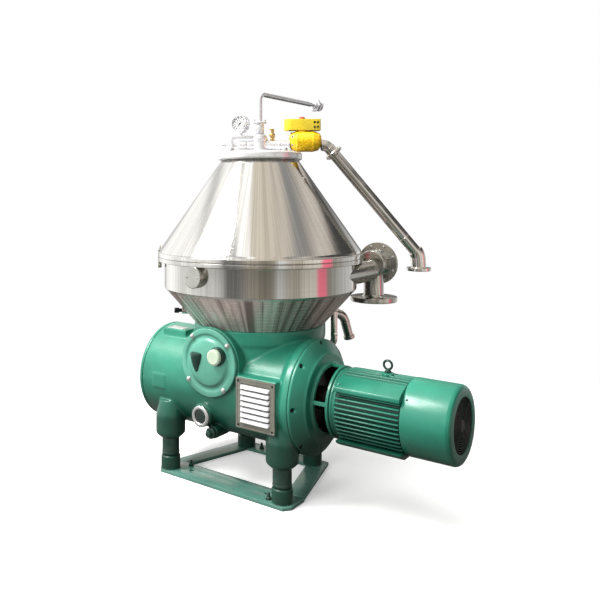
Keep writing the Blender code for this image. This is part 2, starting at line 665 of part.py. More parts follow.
# ---------------------------------------------------------------- hood

def hood_pan():
    low = RIM_SEAM - GAP
    pan = turned([(0.075, PAN_BOTTOM), (0.244, PAN_BOTTOM), (PAN_R, PAN_SHOULDER),
                  (PAN_R, low - RIM_THICK), (RIM_R, low - RIM_THICK), (RIM_R, low),
                  (PAN_R - SHEET, low), (PAN_R - SHEET, PAN_SHOULDER + 0.002), (0.240, PAN_BOTTOM + SHEET),
                  (0.079, PAN_BOTTOM + SHEET), (0.079, 0.600), (0.075, 0.600)], sides=32)
    blind = turned([(0, 0.3565), (0.038, 0.3565), (0.038, 0.384), (0.035, 0.387), (0, 0.387)],
                   axis=around(radians(268), 1, 0), at=(0, 0, 0.7535), sides=12)
    seat = turned([(0, 0.262), (0.013, 0.262), (0.013, 0.294), (0, 0.294)],
                  axis=around(LOCK_AZIMUTH, 1, 0), at=(0, 0, LOCK_Z), sides=10)
    lugs = []
    for azimuth in LUG_AZIMUTHS:
        lug = block((0.372, -0.014, low - 0.046), (0.384, 0.014, low - RIM_THICK + 0.001))
        lug.data.transform(Matrix.Rotation(radians(azimuth), 4, 'Z'))
        lugs.append(lug)
    pan = add(pan, blind, seat, *lugs)
    pan = cut(pan, rod(0.0075, 0.20, axis=around(LOCK_AZIMUTH, 1, 0),
                       at=around(LOCK_AZIMUTH, 0.15, LOCK_Z), sides=10),
              rod(0.034, 0.240, axis=(0, 1, 0), at=(DUCT_X, 0.030, DUCT_Z), sides=16))
    finish(pan, "hood_pan", STEEL, 1.0, 0.2)


def solids_outlet():
    """Tangential duct off the pan, its trap with a blind cover, and the down-pipe."""
    duct = rod(0.0405, 0.260, axis=(0, 1, 0), at=(DUCT_X, 0.020, DUCT_Z), sides=20)
    duct = cut(duct, rod(PAN_R + GAP, 0.20, at=(0, 0, 0.650), sides=32))
    trap = turned([(0, 0.277), (0.050, 0.277), (0.054, 0.281), (0.054, 0.332), (0.080, 0.332), (0.080, 0.344),
                   (0.060, 0.344), (0.056, 0.348), (0, 0.348)], axis=(0, 1, 0), at=(TRAP_X, 0, 0.767), sides=26)
    drop = turned([(0, 0.625), (0.088, 0.625), (0.088, 0.643), (0.038, 0.643), (0.038, 0.750), (0, 0.750)],
                  at=(TRAP_X, TRAP_Y, 0), sides=26)
    duct = add(duct, trap, drop)
    bores = [rod(0.034, 0.280, axis=(0, 1, 0), at=(DUCT_X, 0.020, DUCT_Z), sides=12),
             rod(0.034, 0.160, at=(TRAP_X, TRAP_Y, 0.600), sides=12)]
    for turn in range(4):
        angle = radians(45 + 90 * turn)
        bores.append(rod(0.006, 0.04, sides=8,
                         at=(TRAP_X + 0.068 * cos(angle), TRAP_Y + 0.068 * sin(angle), 0.615)))
    finish(cut(duct, *bores), "solids_outlet", STEEL, 1.0, 0.25)


def pan_drain():
    azimuth = radians(58)
    path = arc_path([around(azimuth, 0.250, 0.584), around(azimuth, 0.362, 0.556),
                     around(azimuth, 0.390, 0.462)], [0.045])
    drain = pipe(path, 0.0180, 0.0150, sides=12)
    lip_start = path[-1] - (path[-1] - path[-2]).normalized() * 0.011
    collar = tube(0.022, 0.017, 0.012, axis=path[-1] - path[-2], at=lip_start)
    shell = turned([(0, 0.540), (0.2455, 0.540), (0.2455, 0.5574), (0.3612, 0.6875), (0, 0.6875)], sides=32)
    finish(cut(add(drain, collar), shell), "pan_drain", STEEL, 1.0, 0.25)
    azimuth = radians(38)
    shell = turned([(0, 0.430), (0.2430, 0.430), (0.2430, 0.500), (0.2465, 0.512), (0.2465, 0.5574),
                    (0.3612, 0.6875), (0, 0.6875)], sides=32)
    path = arc_path([around(azimuth, 0.282, 0.650), around(azimuth, 0.282, 0.462),
                     around(azimuth, 0.200, 0.462)], [0.026], steps=2)
    finish(cut(pipe(path, 0.0130, sides=8), shell), "leak_pipe", STEEL, 1.0, 0.25)


def hood_cone():
    base = RIM_SEAM
    cone = turned([(RIM_R, base), (RIM_R, base + RIM_THICK), (0.380, base + RIM_THICK + 0.002),
                   (CONE_FOOT_R, CONE_FOOT), (CONE_TOP_R, CONE_TOP), (0.080, CONE_TOP),
                   (0.080, CONE_TOP - SHEET), (CONE_TOP_R - 0.003, CONE_TOP - SHEET),
                   (CONE_FOOT_R - 0.006, CONE_FOOT - 0.001), (PAN_R, base + 0.010), (PAN_R, base)], sides=32)
    lugs = []
    for azimuth in LUG_AZIMUTHS:
        lug = block((0.362, -0.014, base + 0.004), (0.384, 0.014, base + 0.040))
        lug.data.transform(Matrix.Rotation(radians(azimuth), 4, 'Z'))
        lugs.append(lug)
    finish(add(cone, *lugs), "hood_cone", STEEL, 1.0, 0.2)


def top_plate():
    low = CONE_TOP + GAP
    plate = turned([(0, low), (PLATE_R - 0.004, low), (PLATE_R, low + 0.004), (PLATE_R, PLATE_TOP - 0.006),
                    (PLATE_R - 0.006, PLATE_TOP), (0, PLATE_TOP)], sides=32)
    bolts = []
    for azimuth in (350, 250, 170, 90):
        spot = around(radians(azimuth), 0.128, PLATE_TOP - 0.001)
        bolts.append(turned([(0, 0), (0.011, 0), (0.011, 0.008), (0.007, 0.013), (0, 0.013)], at=spot, sides=6))
    plate = add(plate, *bolts)
    finish(cut(plate, rod(HEAD_R - 0.003, 0.06, at=(0, 0, 1.15), sides=16)), "top_plate", STEEL, 1.0, 0.25)


# ---------------------------------------------------------------- pipework

def outlet_point(along, z, across=0.0):
    """Point at a distance along the outlet direction from the spindle axis."""
    azimuth = OUTLET_AZIMUTH
    return Vector((along * cos(azimuth) - across * sin(azimuth), along * sin(azimuth) + across * cos(azimuth), z))


def outlet_axis():
    return outlet_point(1.0, 0.0)


def feed_pipe():
    lower = turned([(0, 0.760), (0.0125, 0.760), (0.0125, 1.262), (0.0165, 1.2622), (0.0165, 1.3035), (0.0255, 1.3035),
                    (0.0255, 1.311), (0.010, 1.311), (0, 1.311)], sides=12)
    bend = pipe(arc_path([(0, 0, 1.30), (0, 0, FEED_TOP), (0, 0.405, FEED_TOP)], [0.024]), 0.0095, sides=12)
    union = turned([(0, 0), (0.017, 0), (0.017, 0.014), (0.028, 0.014), (0.028, 0.034), (0.020, 0.036),
                    (0.020, 0.048), (0.0235, 0.048), (0.0235, 0.052), (0, 0.052)],
                   axis=(0, 1, 0), at=(0, 0.398, FEED_TOP), sides=12)
    pipes = add(lower, bend, union)
    bore = pipe(arc_path([(0, 0, 0.75), (0, 0, FEED_TOP), (0, 0.47, FEED_TOP)], [0.024]), 0.0068, sides=10)
    finish(cut(pipes, bore), "feed_pipe", STEEL, 1.0, 0.2)


def product_head():
    """Stem over the bowl, yoke with its throttle valve, outlet stub and cock body."""
    low = PLATE_TOP + GAP
    stem = turned([(0, low), (0.034, low), (0.034, low + 0.008), (HEAD_R, low + 0.010), (HEAD_R, 1.252),
                   (0.022, 1.260), (0, 1.260)], sides=16)
    stub = rod(PIPE_R - 0.002, 0.110, axis=outlet_axis(), at=outlet_point(0.0, HEAD_Z), sides=12)
    lip = rod(0.0265, 0.0076, axis=outlet_axis(), at=outlet_point(0.104, HEAD_Z), sides=12)
    valve = rod(0.017, 0.075, axis=outlet_axis(), at=outlet_point(-0.085, HEAD_Z), sides=12)
    outer = yoke_plate(-0.110, -0.010, 1.2005 - 0.004, 1.256, 0.026)
    inner = yoke_plate(-0.100, -0.020, 1.2065, 1.246, 0.040)
    yoke = cut(outer, inner)
    cock = turned([(0, 0), (0.0075, 0), (0.0075, 0.016), (0.011, 0.016), (0.011, 0.030), (0.006, 0.034),
                   (0.006, 0.040), (0, 0.040)], at=outlet_point(0.048, HEAD_Z + 0.014, -0.004), sides=8)
    gauge_leg = rod(0.006, 0.0170, at=outlet_point(-0.072, 1.247), sides=8)
    head = add(stem, stub, lip, valve, yoke, cock, gauge_leg)
    feed_bore = rod(0.0130, 0.2, at=(0, 0, 1.15), sides=12)
    duct = rod(0.0155, 0.12, axis=outlet_axis(), at=outlet_point(0.004, HEAD_Z), sides=12)
    spindle_bore = rod(0.0066, 0.070, axis=-outlet_axis(), at=outlet_point(-0.060, HEAD_Z), sides=10)
    finish(cut(head, feed_bore, duct, spindle_bore), "product_head", STEEL, 1.0, 0.22)


def yoke_plate(start, end, low, high, thick):
    """Upright slab along the outlet line with rounded corners."""
    radius = 0.010
    outline = []
    for centre_s, centre_z, first in ((end - radius, high - radius, 0), (start + radius, high - radius, 90),
                                      (start + radius, low + radius, 180), (end - radius, low + radius, 270)):
        for step in range(4):
            angle = radians(first + 30 * step)
            outline.append((centre_s + radius * cos(angle), centre_z + radius * sin(angle)))
    half = thick / 2
    return loft([[outlet_point(s, z, across) for s, z in outline] for across in (-half, half)])


def valve_spindle():
    axis = -outlet_axis()
    at = outlet_point(-0.066, HEAD_Z)
    spindle = turned([(0, 0), (0.006, 0), (0.006, 0.064), (0.011, 0.066), (0.011, 0.078), (0, 0.078)],
                     axis=axis, at=at, sides=10)
    finish(spindle, "valve_spindle", STEEL, 1.0, 0.25, origin=at)


def cock_handle():
    at = outlet_point(0.048, HEAD_Z + 0.0544, -0.004)
    handle = turned([(0, 0), (0.007, 0), (0.007, 0.008), (0, 0.008)], at=at, sides=8)
    bar = block((-0.003, -0.020, 0.002), (0.003, 0.004, 0.006))
    bar.data.transform(Matrix.Translation(at))
    finish(add(handle, bar), "cock_handle", BRASS, 1.0, 0.35, origin=at)


def pressure_gauge():
    centre = outlet_point(-0.072, GAUGE_Z)
    case = turned([(0, -0.016), (0.030, -0.016), (0.034, -0.012), (0.0345, 0.012), (0.0325, 0.014),
                   (0.030, 0.012), (0.030, 0.006), (0, 0.006)], axis=(0, -1, 0), at=centre, sides=28)
    neck = rod(0.0075, 0.012, at=outlet_point(-0.072, GAUGE_Z - 0.0355), sides=10)
    hole = rod(0.0018, 0.010, axis=(0, 1, 0), at=centre + Vector((0, -0.010, 0)), sides=8)
    finish(cut(add(case, neck), hole), "pressure_gauge", WHITE, roughness=0.4)
    pivot = centre + Vector((0, -0.0066, 0))
    needle = block((-0.0014, -0.0012, -0.008), (0.0014, 0.0, 0.022))
    needle.data.transform(Matrix.Translation(pivot) @ Matrix.Rotation(radians(-135), 4, 'Y'))
    pin = rod(0.0012, 0.0065, axis=(0, 1, 0), at=pivot + Vector((0, -0.0020, 0)), sides=8)
    finish(add(needle, pin), "gauge_needle", BLACK, roughness=0.5, origin=pivot)


def yellow_valve():
    """Valve body on the outlet line, the drive on top and the disc that turns in it."""
    body = turned([(0, VALVE_START), (0.024, VALVE_START), (0.034, VALVE_START + 0.010),
                   (0.0395, VALVE_START + 0.030), (0.0395, VALVE_END - 0.030), (0.034, VALVE_END - 0.010),
                   (0.024, VALVE_END), (0, VALVE_END)], axis=outlet_axis(), at=(0, 0, 1.2345), sides=20)
    bonnet = rod(0.018, 0.035, at=outlet_point(VALVE_MIDDLE, VALVE_TOP - 0.035), sides=16)
    bore = rod(0.0175, 0.2, axis=outlet_axis(), at=outlet_point(0.08, HEAD_Z), sides=16)
    stem_bore = rod(0.0058, 0.090, at=outlet_point(VALVE_MIDDLE, 1.200), sides=12)
    finish(cut(add(body, bonnet), bore, stem_bore), "valve_body", YELLOW, roughness=0.45)
    bar = pill_block(0.092, 0.229, VALVE_TOP + GAP, 1.318, 0.048)
    drive = cut(bar, rod(0.0058, 0.10, at=outlet_point(VALVE_MIDDLE, 1.25), sides=12))
    finish(drive, "valve_actuator", YELLOW, roughness=0.4)
    at = outlet_point(VALVE_MIDDLE, 1.3184)
    stem = turned([(0, -0.112), (0.005, -0.112), (0.005, 0), (0.013, 0), (0.012, 0.006), (0.005, 0.009), (0, 0.009)],
                  at=at, sides=12)
    across = (-outlet_axis().y, outlet_axis().x, 0)
    flap = turned([(0, -0.0015), (0.0160, -0.0015), (0.0160, 0.0015), (0, 0.0015)],
                  axis=across, at=outlet_point(VALVE_MIDDLE, HEAD_Z), sides=16)
    finish(add(stem, flap), "valve_disc", (0.45, 0.08, 0.05), roughness=0.4, origin=at)


def pill_block(start, end, low, high, thick):
    """Level bar along the outlet line, rounded at its near end."""
    half = thick / 2
    outline = [(start + half - half * sin(radians(a)), half * cos(radians(a))) for a in range(0, 181, 20)]
    outline += [(end - 0.006, -half), (end, -half + 0.006), (end, half - 0.006), (end - 0.006, half)]
    return loft([[outlet_point(s, z, across) for s, across in outline] for z in (low, high)])


def product_pipe():
    start = VALVE_END + GAP
    path = arc_path([outlet_point(start, HEAD_Z), outlet_point(0.254, HEAD_Z), outlet_point(0.600, 0.808),
                     outlet_point(0.603, 0.757)], [0.040, 0.050], steps=3)
    run = pipe(path, PIPE_R, PIPE_R - 0.002, sides=12)
    slope = (path[5] - path[4]).normalized()
    clamp = tube(0.030, PIPE_R - 0.001, 0.020, axis=slope, at=path[4] + slope * 0.012, sides=14)
    elbow = pipe(path[5:], ELBOW_R, PIPE_R - 0.001, sides=12)
    pad = turned([(0.045, 0.745), (0.045, 0.757), (0.0225, 0.7575), (PIPE_R - 0.002, 0.7575),
                  (PIPE_R - 0.002, 0.745)], at=outlet_point(0.603, 0), sides=20)
    finish(add(run, elbow, clamp, pad), "product_pipe", STEEL, 1.0, 0.2)


def lock_screw():
    axis = -around(LOCK_AZIMUTH, 1, 0)
    at = around(LOCK_AZIMUTH, 0.300, LOCK_Z)
    screw = turned([(0, -0.023), (0.009, -0.023), (0.010, -0.020), (0.010, -0.006), (0.0068, -0.005),
                    (0.0068, 0.030), (0.005, 0.034), (0, 0.034)], axis=axis, at=at, sides=10)
    finish(screw, "lock_screw", DARK_STEEL, 1.0, 0.4, origin=at)


def build():
    clear_scene()
    base_rails()
    feet()
    gear_case()
    case_end_cover()
    front_cover()
    rev_counter_cap()
    sight_glass()
    louvre_panel()
    motor_adapter()
    motor()
    fan_cowl()
    motor_rotor()
    drive_line()
    bowl_spindle()
    bowl_shells()
    bowl_inside()
    hood_pan()
    solids_outlet()
    pan_drain()
    hood_cone()
    top_plate()
    feed_pipe()
    product_head()
    valve_spindle()
    cock_handle()
    pressure_gauge()
    yellow_valve()
    product_pipe()
    lock_screw()


build()
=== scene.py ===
"""Looks of the disc-stack cream separator: fine meshes, materials, light and camera.

Pieces are laid out from the foot of the bowl spindle's axis, as the part is, and then
moved to SPINDLE_AT.  X runs along the drive line, -Y is the front, Z is up.
"""
from math import cos, pi, radians, sin, sqrt, tau

import bmesh
import bpy
from mathutils import Matrix, Vector

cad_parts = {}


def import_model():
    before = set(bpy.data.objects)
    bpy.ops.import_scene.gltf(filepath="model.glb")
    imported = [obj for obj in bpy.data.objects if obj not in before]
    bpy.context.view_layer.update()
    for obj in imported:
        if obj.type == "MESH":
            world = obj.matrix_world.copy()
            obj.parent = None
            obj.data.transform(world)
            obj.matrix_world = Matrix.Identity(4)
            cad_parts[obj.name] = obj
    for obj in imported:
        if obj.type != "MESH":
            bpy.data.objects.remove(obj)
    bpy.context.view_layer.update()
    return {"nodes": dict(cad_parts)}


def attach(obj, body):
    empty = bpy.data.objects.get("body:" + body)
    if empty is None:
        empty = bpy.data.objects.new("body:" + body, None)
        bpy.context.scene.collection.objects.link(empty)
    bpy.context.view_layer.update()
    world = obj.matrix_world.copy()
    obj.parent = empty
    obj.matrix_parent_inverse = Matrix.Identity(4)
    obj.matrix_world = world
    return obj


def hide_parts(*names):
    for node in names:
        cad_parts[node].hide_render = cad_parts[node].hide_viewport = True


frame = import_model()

SPINDLE_AT = Vector((-0.204, -0.031, 0.0))
SIDES = 128

# Shared with the part
DRIVE_Y = -0.08
DRIVE_Z = 0.338
LINE = (0, DRIVE_Y, DRIVE_Z)
AXIS_X = (1, 0, 0)
FRONT = (0, -1, 0)
CASE_R = 0.1825
CASE_LEFT = -0.362
CASE_RIGHT = 0.293
CASE_FLANGE_R = 0.197
NECK_R = 0.246
NECK_TOP = 0.557
PAN_BOTTOM = 0.5574
PAN_R = 0.36
PAN_SHOULDER = 0.688
RIM_R = 0.385
RIM_THICK = 0.016
RIM_SEAM = 0.8036
CONE_TOP = 1.162
CONE_TOP_R = 0.146
CONE_FOOT = 0.829
CONE_FOOT_R = 0.376
SHEET = 0.004
PLATE_R = 0.159
PLATE_TOP = 1.192
LUG_AZIMUTHS = (218, 128, 75)
LOCK_AZIMUTH = radians(218)
LOCK_Z = 0.595
FEET = {"front_left": (-0.249, -0.226), "front_right": (0.242, -0.2225), "rear_right": (0.153, 0.13),
    "rear_left": (-0.153, 0.13),}
OUTLET_AZIMUTH = radians(37.75)
PIPE_R = 0.0215
HEAD_Z = 1.22
HEAD_R = 0.027
FEED_TOP = 1.415
GAUGE_Z = 1.3
VALVE_MIDDLE = 0.16
GAP = 0.0004
CAP_X = 0.018
CAP_Z = 0.474
SIGHT_X = -0.071
ELBOW_R = 0.0275


# ---------------------------------------------------------------- node materials

class Web:
    """Short helpers for a node tree."""

    def __init__(self, tree):
        self.nodes = tree.nodes
        self.links = tree.links

    def node(self, kind, **values):
        made = self.nodes.new("ShaderNode" + kind)
        for key, value in values.items():
            setattr(made, key, value)
        return made

    def wire(self, output, target):
        self.links.new(output, target)
        return output

    def math(self, operation, first, second=0.0):
        made = self.node("Math", operation=operation)
        for socket, value in zip(made.inputs, (first, second)):
            if isinstance(value, (int, float)):
                socket.default_value = value
            else:
                self.wire(value, socket)
        return made.outputs[0]

    def spread(self, value, low, high, start=0.3, end=0.7):
        made = self.node("MapRange")
        made.inputs["From Min"].default_value = start
        made.inputs["From Max"].default_value = end
        made.inputs["To Min"].default_value = low
        made.inputs["To Max"].default_value = high
        self.wire(value, made.inputs["Value"])
        return made.outputs["Result"]

    def ramp(self, value, stops):
        made = self.node("ValToRGB")
        band = made.color_ramp
        while len(band.elements) < len(stops):
            band.elements.new(0.5)
        for element, (spot, level) in zip(band.elements, stops):
            element.position = spot
            element.color = (*(level if isinstance(level, tuple) else (level,) * 3), 1.0)
        self.wire(value, made.inputs["Fac"])
        return made.outputs["Color"]

    def mix(self, share, first, second, blend='MIX'):
        made = self.node("Mix", data_type='RGBA', blend_type=blend)
        for socket, value in ((made.inputs[0], share), (made.inputs[6], first), (made.inputs[7], second)):
            if isinstance(value, tuple):
                socket.default_value = (*value, 1.0)
            elif isinstance(value, (int, float)):
                socket.default_value = value
            else:
                self.wire(value, socket)
        return made.outputs[2]

    def ease(self, value, low, high, start, end):
        made = self.node("MapRange", interpolation_type='SMOOTHSTEP')
        for socket, number in zip(made.inputs[1:5], (start, end, low, high)):
            socket.default_value = number
        self.wire(value, made.inputs["Value"])
        return made.outputs["Result"]

    def dot(self, way, axis):
        made = self.node("VectorMath", operation='DOT_PRODUCT')
        self.wire(way, made.inputs[0])
        made.inputs[1].default_value = axis
        return made.outputs["Value"]

    def parts_of(self, vector):
        made = self.node("SeparateXYZ")
        self.wire(vector, made.inputs[0])
        return made.outputs


class Look(Web):
    """A Principled material with short helpers for its procedural detail."""

    def __init__(self, name, colour, metallic=0.0, roughness=0.4, coat=0.0, coat_roughness=0.08):
        self.mat = bpy.data.materials.new(name)
        self.mat.use_nodes = True
        super().__init__(self.mat.node_tree)
        self.shader = self.nodes["Principled BSDF"]
        self.shader.inputs["Base Color"].default_value = (*colour, 1.0)
        for socket, value in (("Metallic", metallic), ("Roughness", roughness), ("Coat Weight", coat),
            ("Coat Roughness", coat_roughness)):
            self.shader.inputs[socket].default_value = value
        self.place = self.nodes.new("ShaderNodeTexCoord").outputs["Object"]

    def scaled(self, scale):
        mapping = self.node("Mapping")
        mapping.inputs["Scale"].default_value = scale
        self.wire(self.place, mapping.inputs["Vector"])
        return mapping.outputs["Vector"]

    def noise(self, scale, detail=4.0, vector=None, roughness=0.5):
        tex = self.node("TexNoise")
        tex.inputs["Scale"].default_value = scale
        tex.inputs["Detail"].default_value = detail
        tex.inputs["Roughness"].default_value = roughness
        self.wire(vector or self.place, tex.inputs["Vector"])
        return tex.outputs["Fac"]

    def colour(self, value):
        self.wire(value, self.shader.inputs["Base Color"])

    def rough(self, value):
        self.wire(value, self.shader.inputs["Roughness"])

    def bump(self, height, strength, distance=0.001, below=None):
        made = self.node("Bump")
        made.inputs["Strength"].default_value = strength
        made.inputs["Distance"].default_value = distance
        self.wire(height, made.inputs["Height"])
        if below is not None:
            self.wire(below, made.inputs["Normal"])
        self.wire(made.outputs["Normal"], self.shader.inputs["Normal"])
        return made.outputs["Normal"]

    def edge(self, size=0.002):
        """1 on worn edges, 0 on open faces."""
        bevel = self.node("Bevel", samples=4)
        bevel.inputs["Radius"].default_value = size
        plain = self.node("NewGeometry").outputs["Normal"]
        turn = self.node("VectorMath", operation='DOT_PRODUCT')
        self.wire(bevel.outputs["Normal"], turn.inputs[0])
        self.wire(plain, turn.inputs[1])
        return self.spread(turn.outputs["Value"], 1.0, 0.0, 0.82, 0.97)

    def around_axis(self, stretch, height_scale):
        """Texture place that runs round the Z axis, stretched along its slope."""
        parts = self.parts_of(self.place)
        reach = self.node("VectorMath", operation='NORMALIZE')
        flat = self.node("CombineXYZ")
        self.wire(parts[0], flat.inputs[0])
        self.wire(parts[1], flat.inputs[1])
        self.wire(flat.outputs[0], reach.inputs[0])
        halves = self.parts_of(reach.outputs["Vector"])
        joined = self.node("CombineXYZ")
        self.wire(self.math('MULTIPLY', halves[0], stretch), joined.inputs[0])
        self.wire(self.math('MULTIPLY', halves[1], stretch), joined.inputs[1])
        self.wire(self.math('MULTIPLY', parts[2], height_scale), joined.inputs[2])
        return joined.outputs[0]


def make_enamel(name, colour, roughness=0.33, coat=0.14, cast=0.26, shade_held_back=0.16, fin_root_shade=None):
    """Gloss paint on castings, dulled low down by dust and painted sheen, and darkened by painted shade low on
    the machine and under its bellies.
    """
    look = Look(name, colour, 0.0, roughness, coat, 0.16)
    cloud = look.noise(6.0, 3.0)
    fine = look.noise(160.0, 3.0)
    light = tuple(min(1.0, c * 1.22 + 0.006) for c in colour)
    dark = tuple(c * 0.8 for c in colour)
    base = look.mix(look.spread(cloud, 0.0, 1.0), dark, light)
    parts = look.parts_of(look.place)
    # Grey-green near the floor: partly dust, partly painted sheen standing in for the light the base rails
    # catch.
    dust_and_sheen = look.math('MULTIPLY', look.spread(parts[2], 0.22, 0.0, 0.0, 0.25),
        look.spread(look.noise(38.0, 5.0), 0.0, 1.0, 0.42, 0.72))
    base = look.mix(dust_and_sheen, base, (0.19, 0.22, 0.18))
    faces = look.parts_of(look.node("NewGeometry").outputs["Normal"])
    # Painted shade: low parts and downward faces are darkened towards near black, standing in for the shadow
    # under the machine; shade_held_back keeps part of it off.
    low = look.spread(look.math('ADD', parts[2], look.math('MULTIPLY', cloud, 0.06)), 1.0, 0.0, 0.24, 0.46)
    under = look.spread(faces[2], 0.0, 1.0, 0.0, -0.9)
    shade = look.math('MAXIMUM', low, under)
    base = look.mix(look.math('MULTIPLY', shade, 1.0 - shade_held_back), base, tuple(c * 0.02 for c in colour))
    # Painted shade: near the fin roots the paint is darkened towards near black, fading out towards the tips,
    # where the gaps between the fins lie in shadow.
    if fin_root_shade is not None:
        over = look.math('SUBTRACT', parts[2], DRIVE_Z)
        across = look.math('SUBTRACT', parts[1], DRIVE_Y)
        reach = look.math('SQRT', look.math('ADD', look.math('MULTIPLY', over, over),
            look.math('MULTIPLY', across, across)))
        base = look.mix(look.spread(reach, 0.86, 0.0, *fin_root_shade), base, tuple(c * 0.02 for c in colour))
    worn = look.math('MULTIPLY', look.edge(0.0022), look.spread(look.noise(70.0, 5.0), 0.0, 0.55, 0.5, 0.66))
    look.colour(look.mix(worn, base, tuple(c * 1.5 + 0.05 for c in colour)))
    look.rough(look.spread(look.noise(26.0, 4.0), roughness - 0.05, roughness + 0.1))
    waves = look.math('ADD', look.math('MULTIPLY', look.noise(22.0, 2.0), 2.0), fine)
    look.bump(waves, cast, 0.0012)
    return look.mat


def make_polished(name, colour, roughness, streak=0.35, anisotropy=0.55, grain=0.16, dull_and_reflection_below=None):
    """Sheet rolled and polished round the Z axis; below one height it is duller and streaked dark brown-grey,
    partly a mill finish and partly painted reflection.
    """
    look = Look(name, colour, 1.0, roughness)
    tangent = look.node("Tangent", direction_type='RADIAL', axis='Z')
    look.wire(tangent.outputs[0], look.shader.inputs["Tangent"])
    look.shader.inputs["Anisotropic"].default_value = anisotropy
    look.shader.inputs["Anisotropic Rotation"].default_value = 0.25
    slow = look.noise(1.0, 3.0, look.around_axis(7.0, 0.8))
    rings = look.noise(1.0, 2.0, look.around_axis(1.2, 900.0))
    hairs = look.noise(1.0, 4.0, look.around_axis(46.0, 0.6), 0.7)
    tint = tuple(c * 0.9 for c in colour)
    shade = look.mix(look.spread(slow, 0.0, 1.0, 0.35, 0.65), tint, colour)
    shade = look.mix(look.spread(hairs, 0.0, 1.0, 0.36, 0.6), tuple(c * 0.74 for c in colour), shade)
    # Below the given height the sheet is less metallic and rougher, with dark brown-grey streaks: partly its
    # mill finish, partly painted reflection of the dark floor below.
    if dull_and_reflection_below is not None:
        parts = look.parts_of(look.place)
        lower = look.spread(parts[2], 1.0, 0.0, dull_and_reflection_below - 0.012, dull_and_reflection_below)
        bands = look.noise(1.0, 3.0, look.around_axis(15.0, 0.8), 0.6)
        dull_and_reflection = look.mix(look.spread(bands, 0.0, 1.0, 0.42, 0.58), (0.26, 0.19, 0.18), (0.78, 0.62, 0.6))
        shade = look.mix(lower, shade, dull_and_reflection)
        look.wire(look.spread(lower, 1.0, 0.62, 0.0, 1.0), look.shader.inputs["Metallic"])
    look.colour(shade)
    rough = look.math('ADD', look.spread(slow, roughness * (1 - streak), roughness * (1 + streak)),
        look.spread(rings, -0.02, 0.04))
    if dull_and_reflection_below is not None:
        rough = look.math('ADD', rough, look.math('MULTIPLY', lower, 0.12))
    look.rough(rough)
    swell = look.bump(look.noise(1.0, 2.0, look.around_axis(2.6, 3.0)), 0.1, 0.004)
    look.bump(rings, grain, 0.0002, swell)
    return look.mat


def make_steel(name, colour, roughness, grain=(3.0, 3.0, 260.0), strength=0.12, metallic=1.0):
    look = Look(name, colour, metallic, roughness)
    lines = look.noise(6.0, 3.0, look.scaled(grain))
    smear = look.noise(14.0, 4.0)
    tint = tuple(c * 0.82 for c in colour)
    look.colour(look.mix(look.spread(smear, 0.0, 1.0), tint, colour))
    look.rough(look.math('ADD', look.spread(lines, roughness * 0.7, roughness * 1.3),
        look.spread(smear, -0.03, 0.06)))
    look.bump(lines, strength, 0.0003)
    return look.mat


def make_yellow():
    look = Look("yellow_cast_paint", (0.9, 0.56, 0.006), 0.0, 0.38, 0.2, 0.12)
    cell = look.node("TexVoronoi", feature='SMOOTH_F1')
    cell.inputs["Scale"].default_value = 95.0
    look.wire(look.place, cell.inputs["Vector"])
    hollow = look.spread(cell.outputs["Distance"], 0.0, 1.0, 0.15, 0.75)
    look.colour(look.mix(hollow, (0.86, 0.57, 0.01), (0.7, 0.38, 0.004)))
    look.rough(look.spread(look.noise(60.0, 4.0), 0.28, 0.46))
    look.bump(look.math('ADD', hollow, look.noise(220.0, 3.0)), 0.35, 0.0015)
    return look.mat


def make_plain(name, colour, roughness, coat=0.0, scale=90.0, strength=0.12, metallic=0.0):
    look = Look(name, colour, metallic, roughness, coat)
    cloud = look.noise(scale * 0.2, 4.0)
    look.colour(look.mix(look.spread(cloud, 0.0, 1.0), tuple(c * 0.84 for c in colour), colour))
    look.rough(look.spread(look.noise(scale * 0.6, 4.0), roughness * 0.8, roughness * 1.25))
    look.bump(look.noise(scale * 3.0, 3.0), strength, 0.0006)
    return look.mat


def make_glass(name, colour, clear):
    look = Look(name, colour, 0.0, 0.04)
    look.shader.inputs["Transmission Weight"].default_value = clear
    look.shader.inputs["IOR"].default_value = 1.46
    look.rough(look.spread(look.noise(120.0, 3.0), 0.02, 0.1))
    return look.mat


ENAMEL = make_enamel("green_enamel", (0.02, 0.205, 0.132))
ENAMEL_SHEET = make_enamel("green_enamel_sheet", (0.012, 0.205, 0.13), 0.32, 0.14, 0.1)
ENAMEL_MOTOR = make_enamel("green_enamel_motor", (0.014, 0.18, 0.114), fin_root_shade=(0.1085, 0.1205))
# Painted light: a lighter copy of the green enamel for the round front cover, standing in for the light its
# front face catches.
ENAMEL_COVER_LIT = make_enamel("green_enamel_cover_painted_light", (0.1, 0.34, 0.25))
# Greyer, lighter copy of the green enamel for the base rails: partly their dusty tone, partly painted sheen; it
# takes little of the painted shade.
ENAMEL_BASE_DUST_AND_SHEEN = make_enamel("green_enamel_base_dust_and_sheen", (0.085, 0.225, 0.18), 0.3, 0.3, 0.16, 0.85)
CONE_STEEL = make_polished("hood_cone_polish", (0.8, 0.78, 0.74), 0.13, 0.3, 0.75, 0.1)
PAN_STEEL = make_polished("hood_pan_polish", (0.72, 0.7, 0.66), 0.15, 0.3, 0.85, 0.06, PAN_SHOULDER)
# Painted light: a pale, partly diffuse copy of the stainless for the top plate, standing in for its bright
# reflections.
PLATE_STEEL_PAINTED_LIGHT = make_steel("top_plate_polish_painted_light", (0.84, 0.84, 0.84), 0.22, (4.0, 4.0, 90.0), 0.03, 0.55)
BOWL_STEEL = make_polished("bowl_polish", (0.7, 0.7, 0.69), 0.2, 0.2, 0.4, 0.2)
TUBE_STEEL = make_steel("tube_polish", (0.8, 0.78, 0.74), 0.15, (4.0, 4.0, 4.0), 0.02)
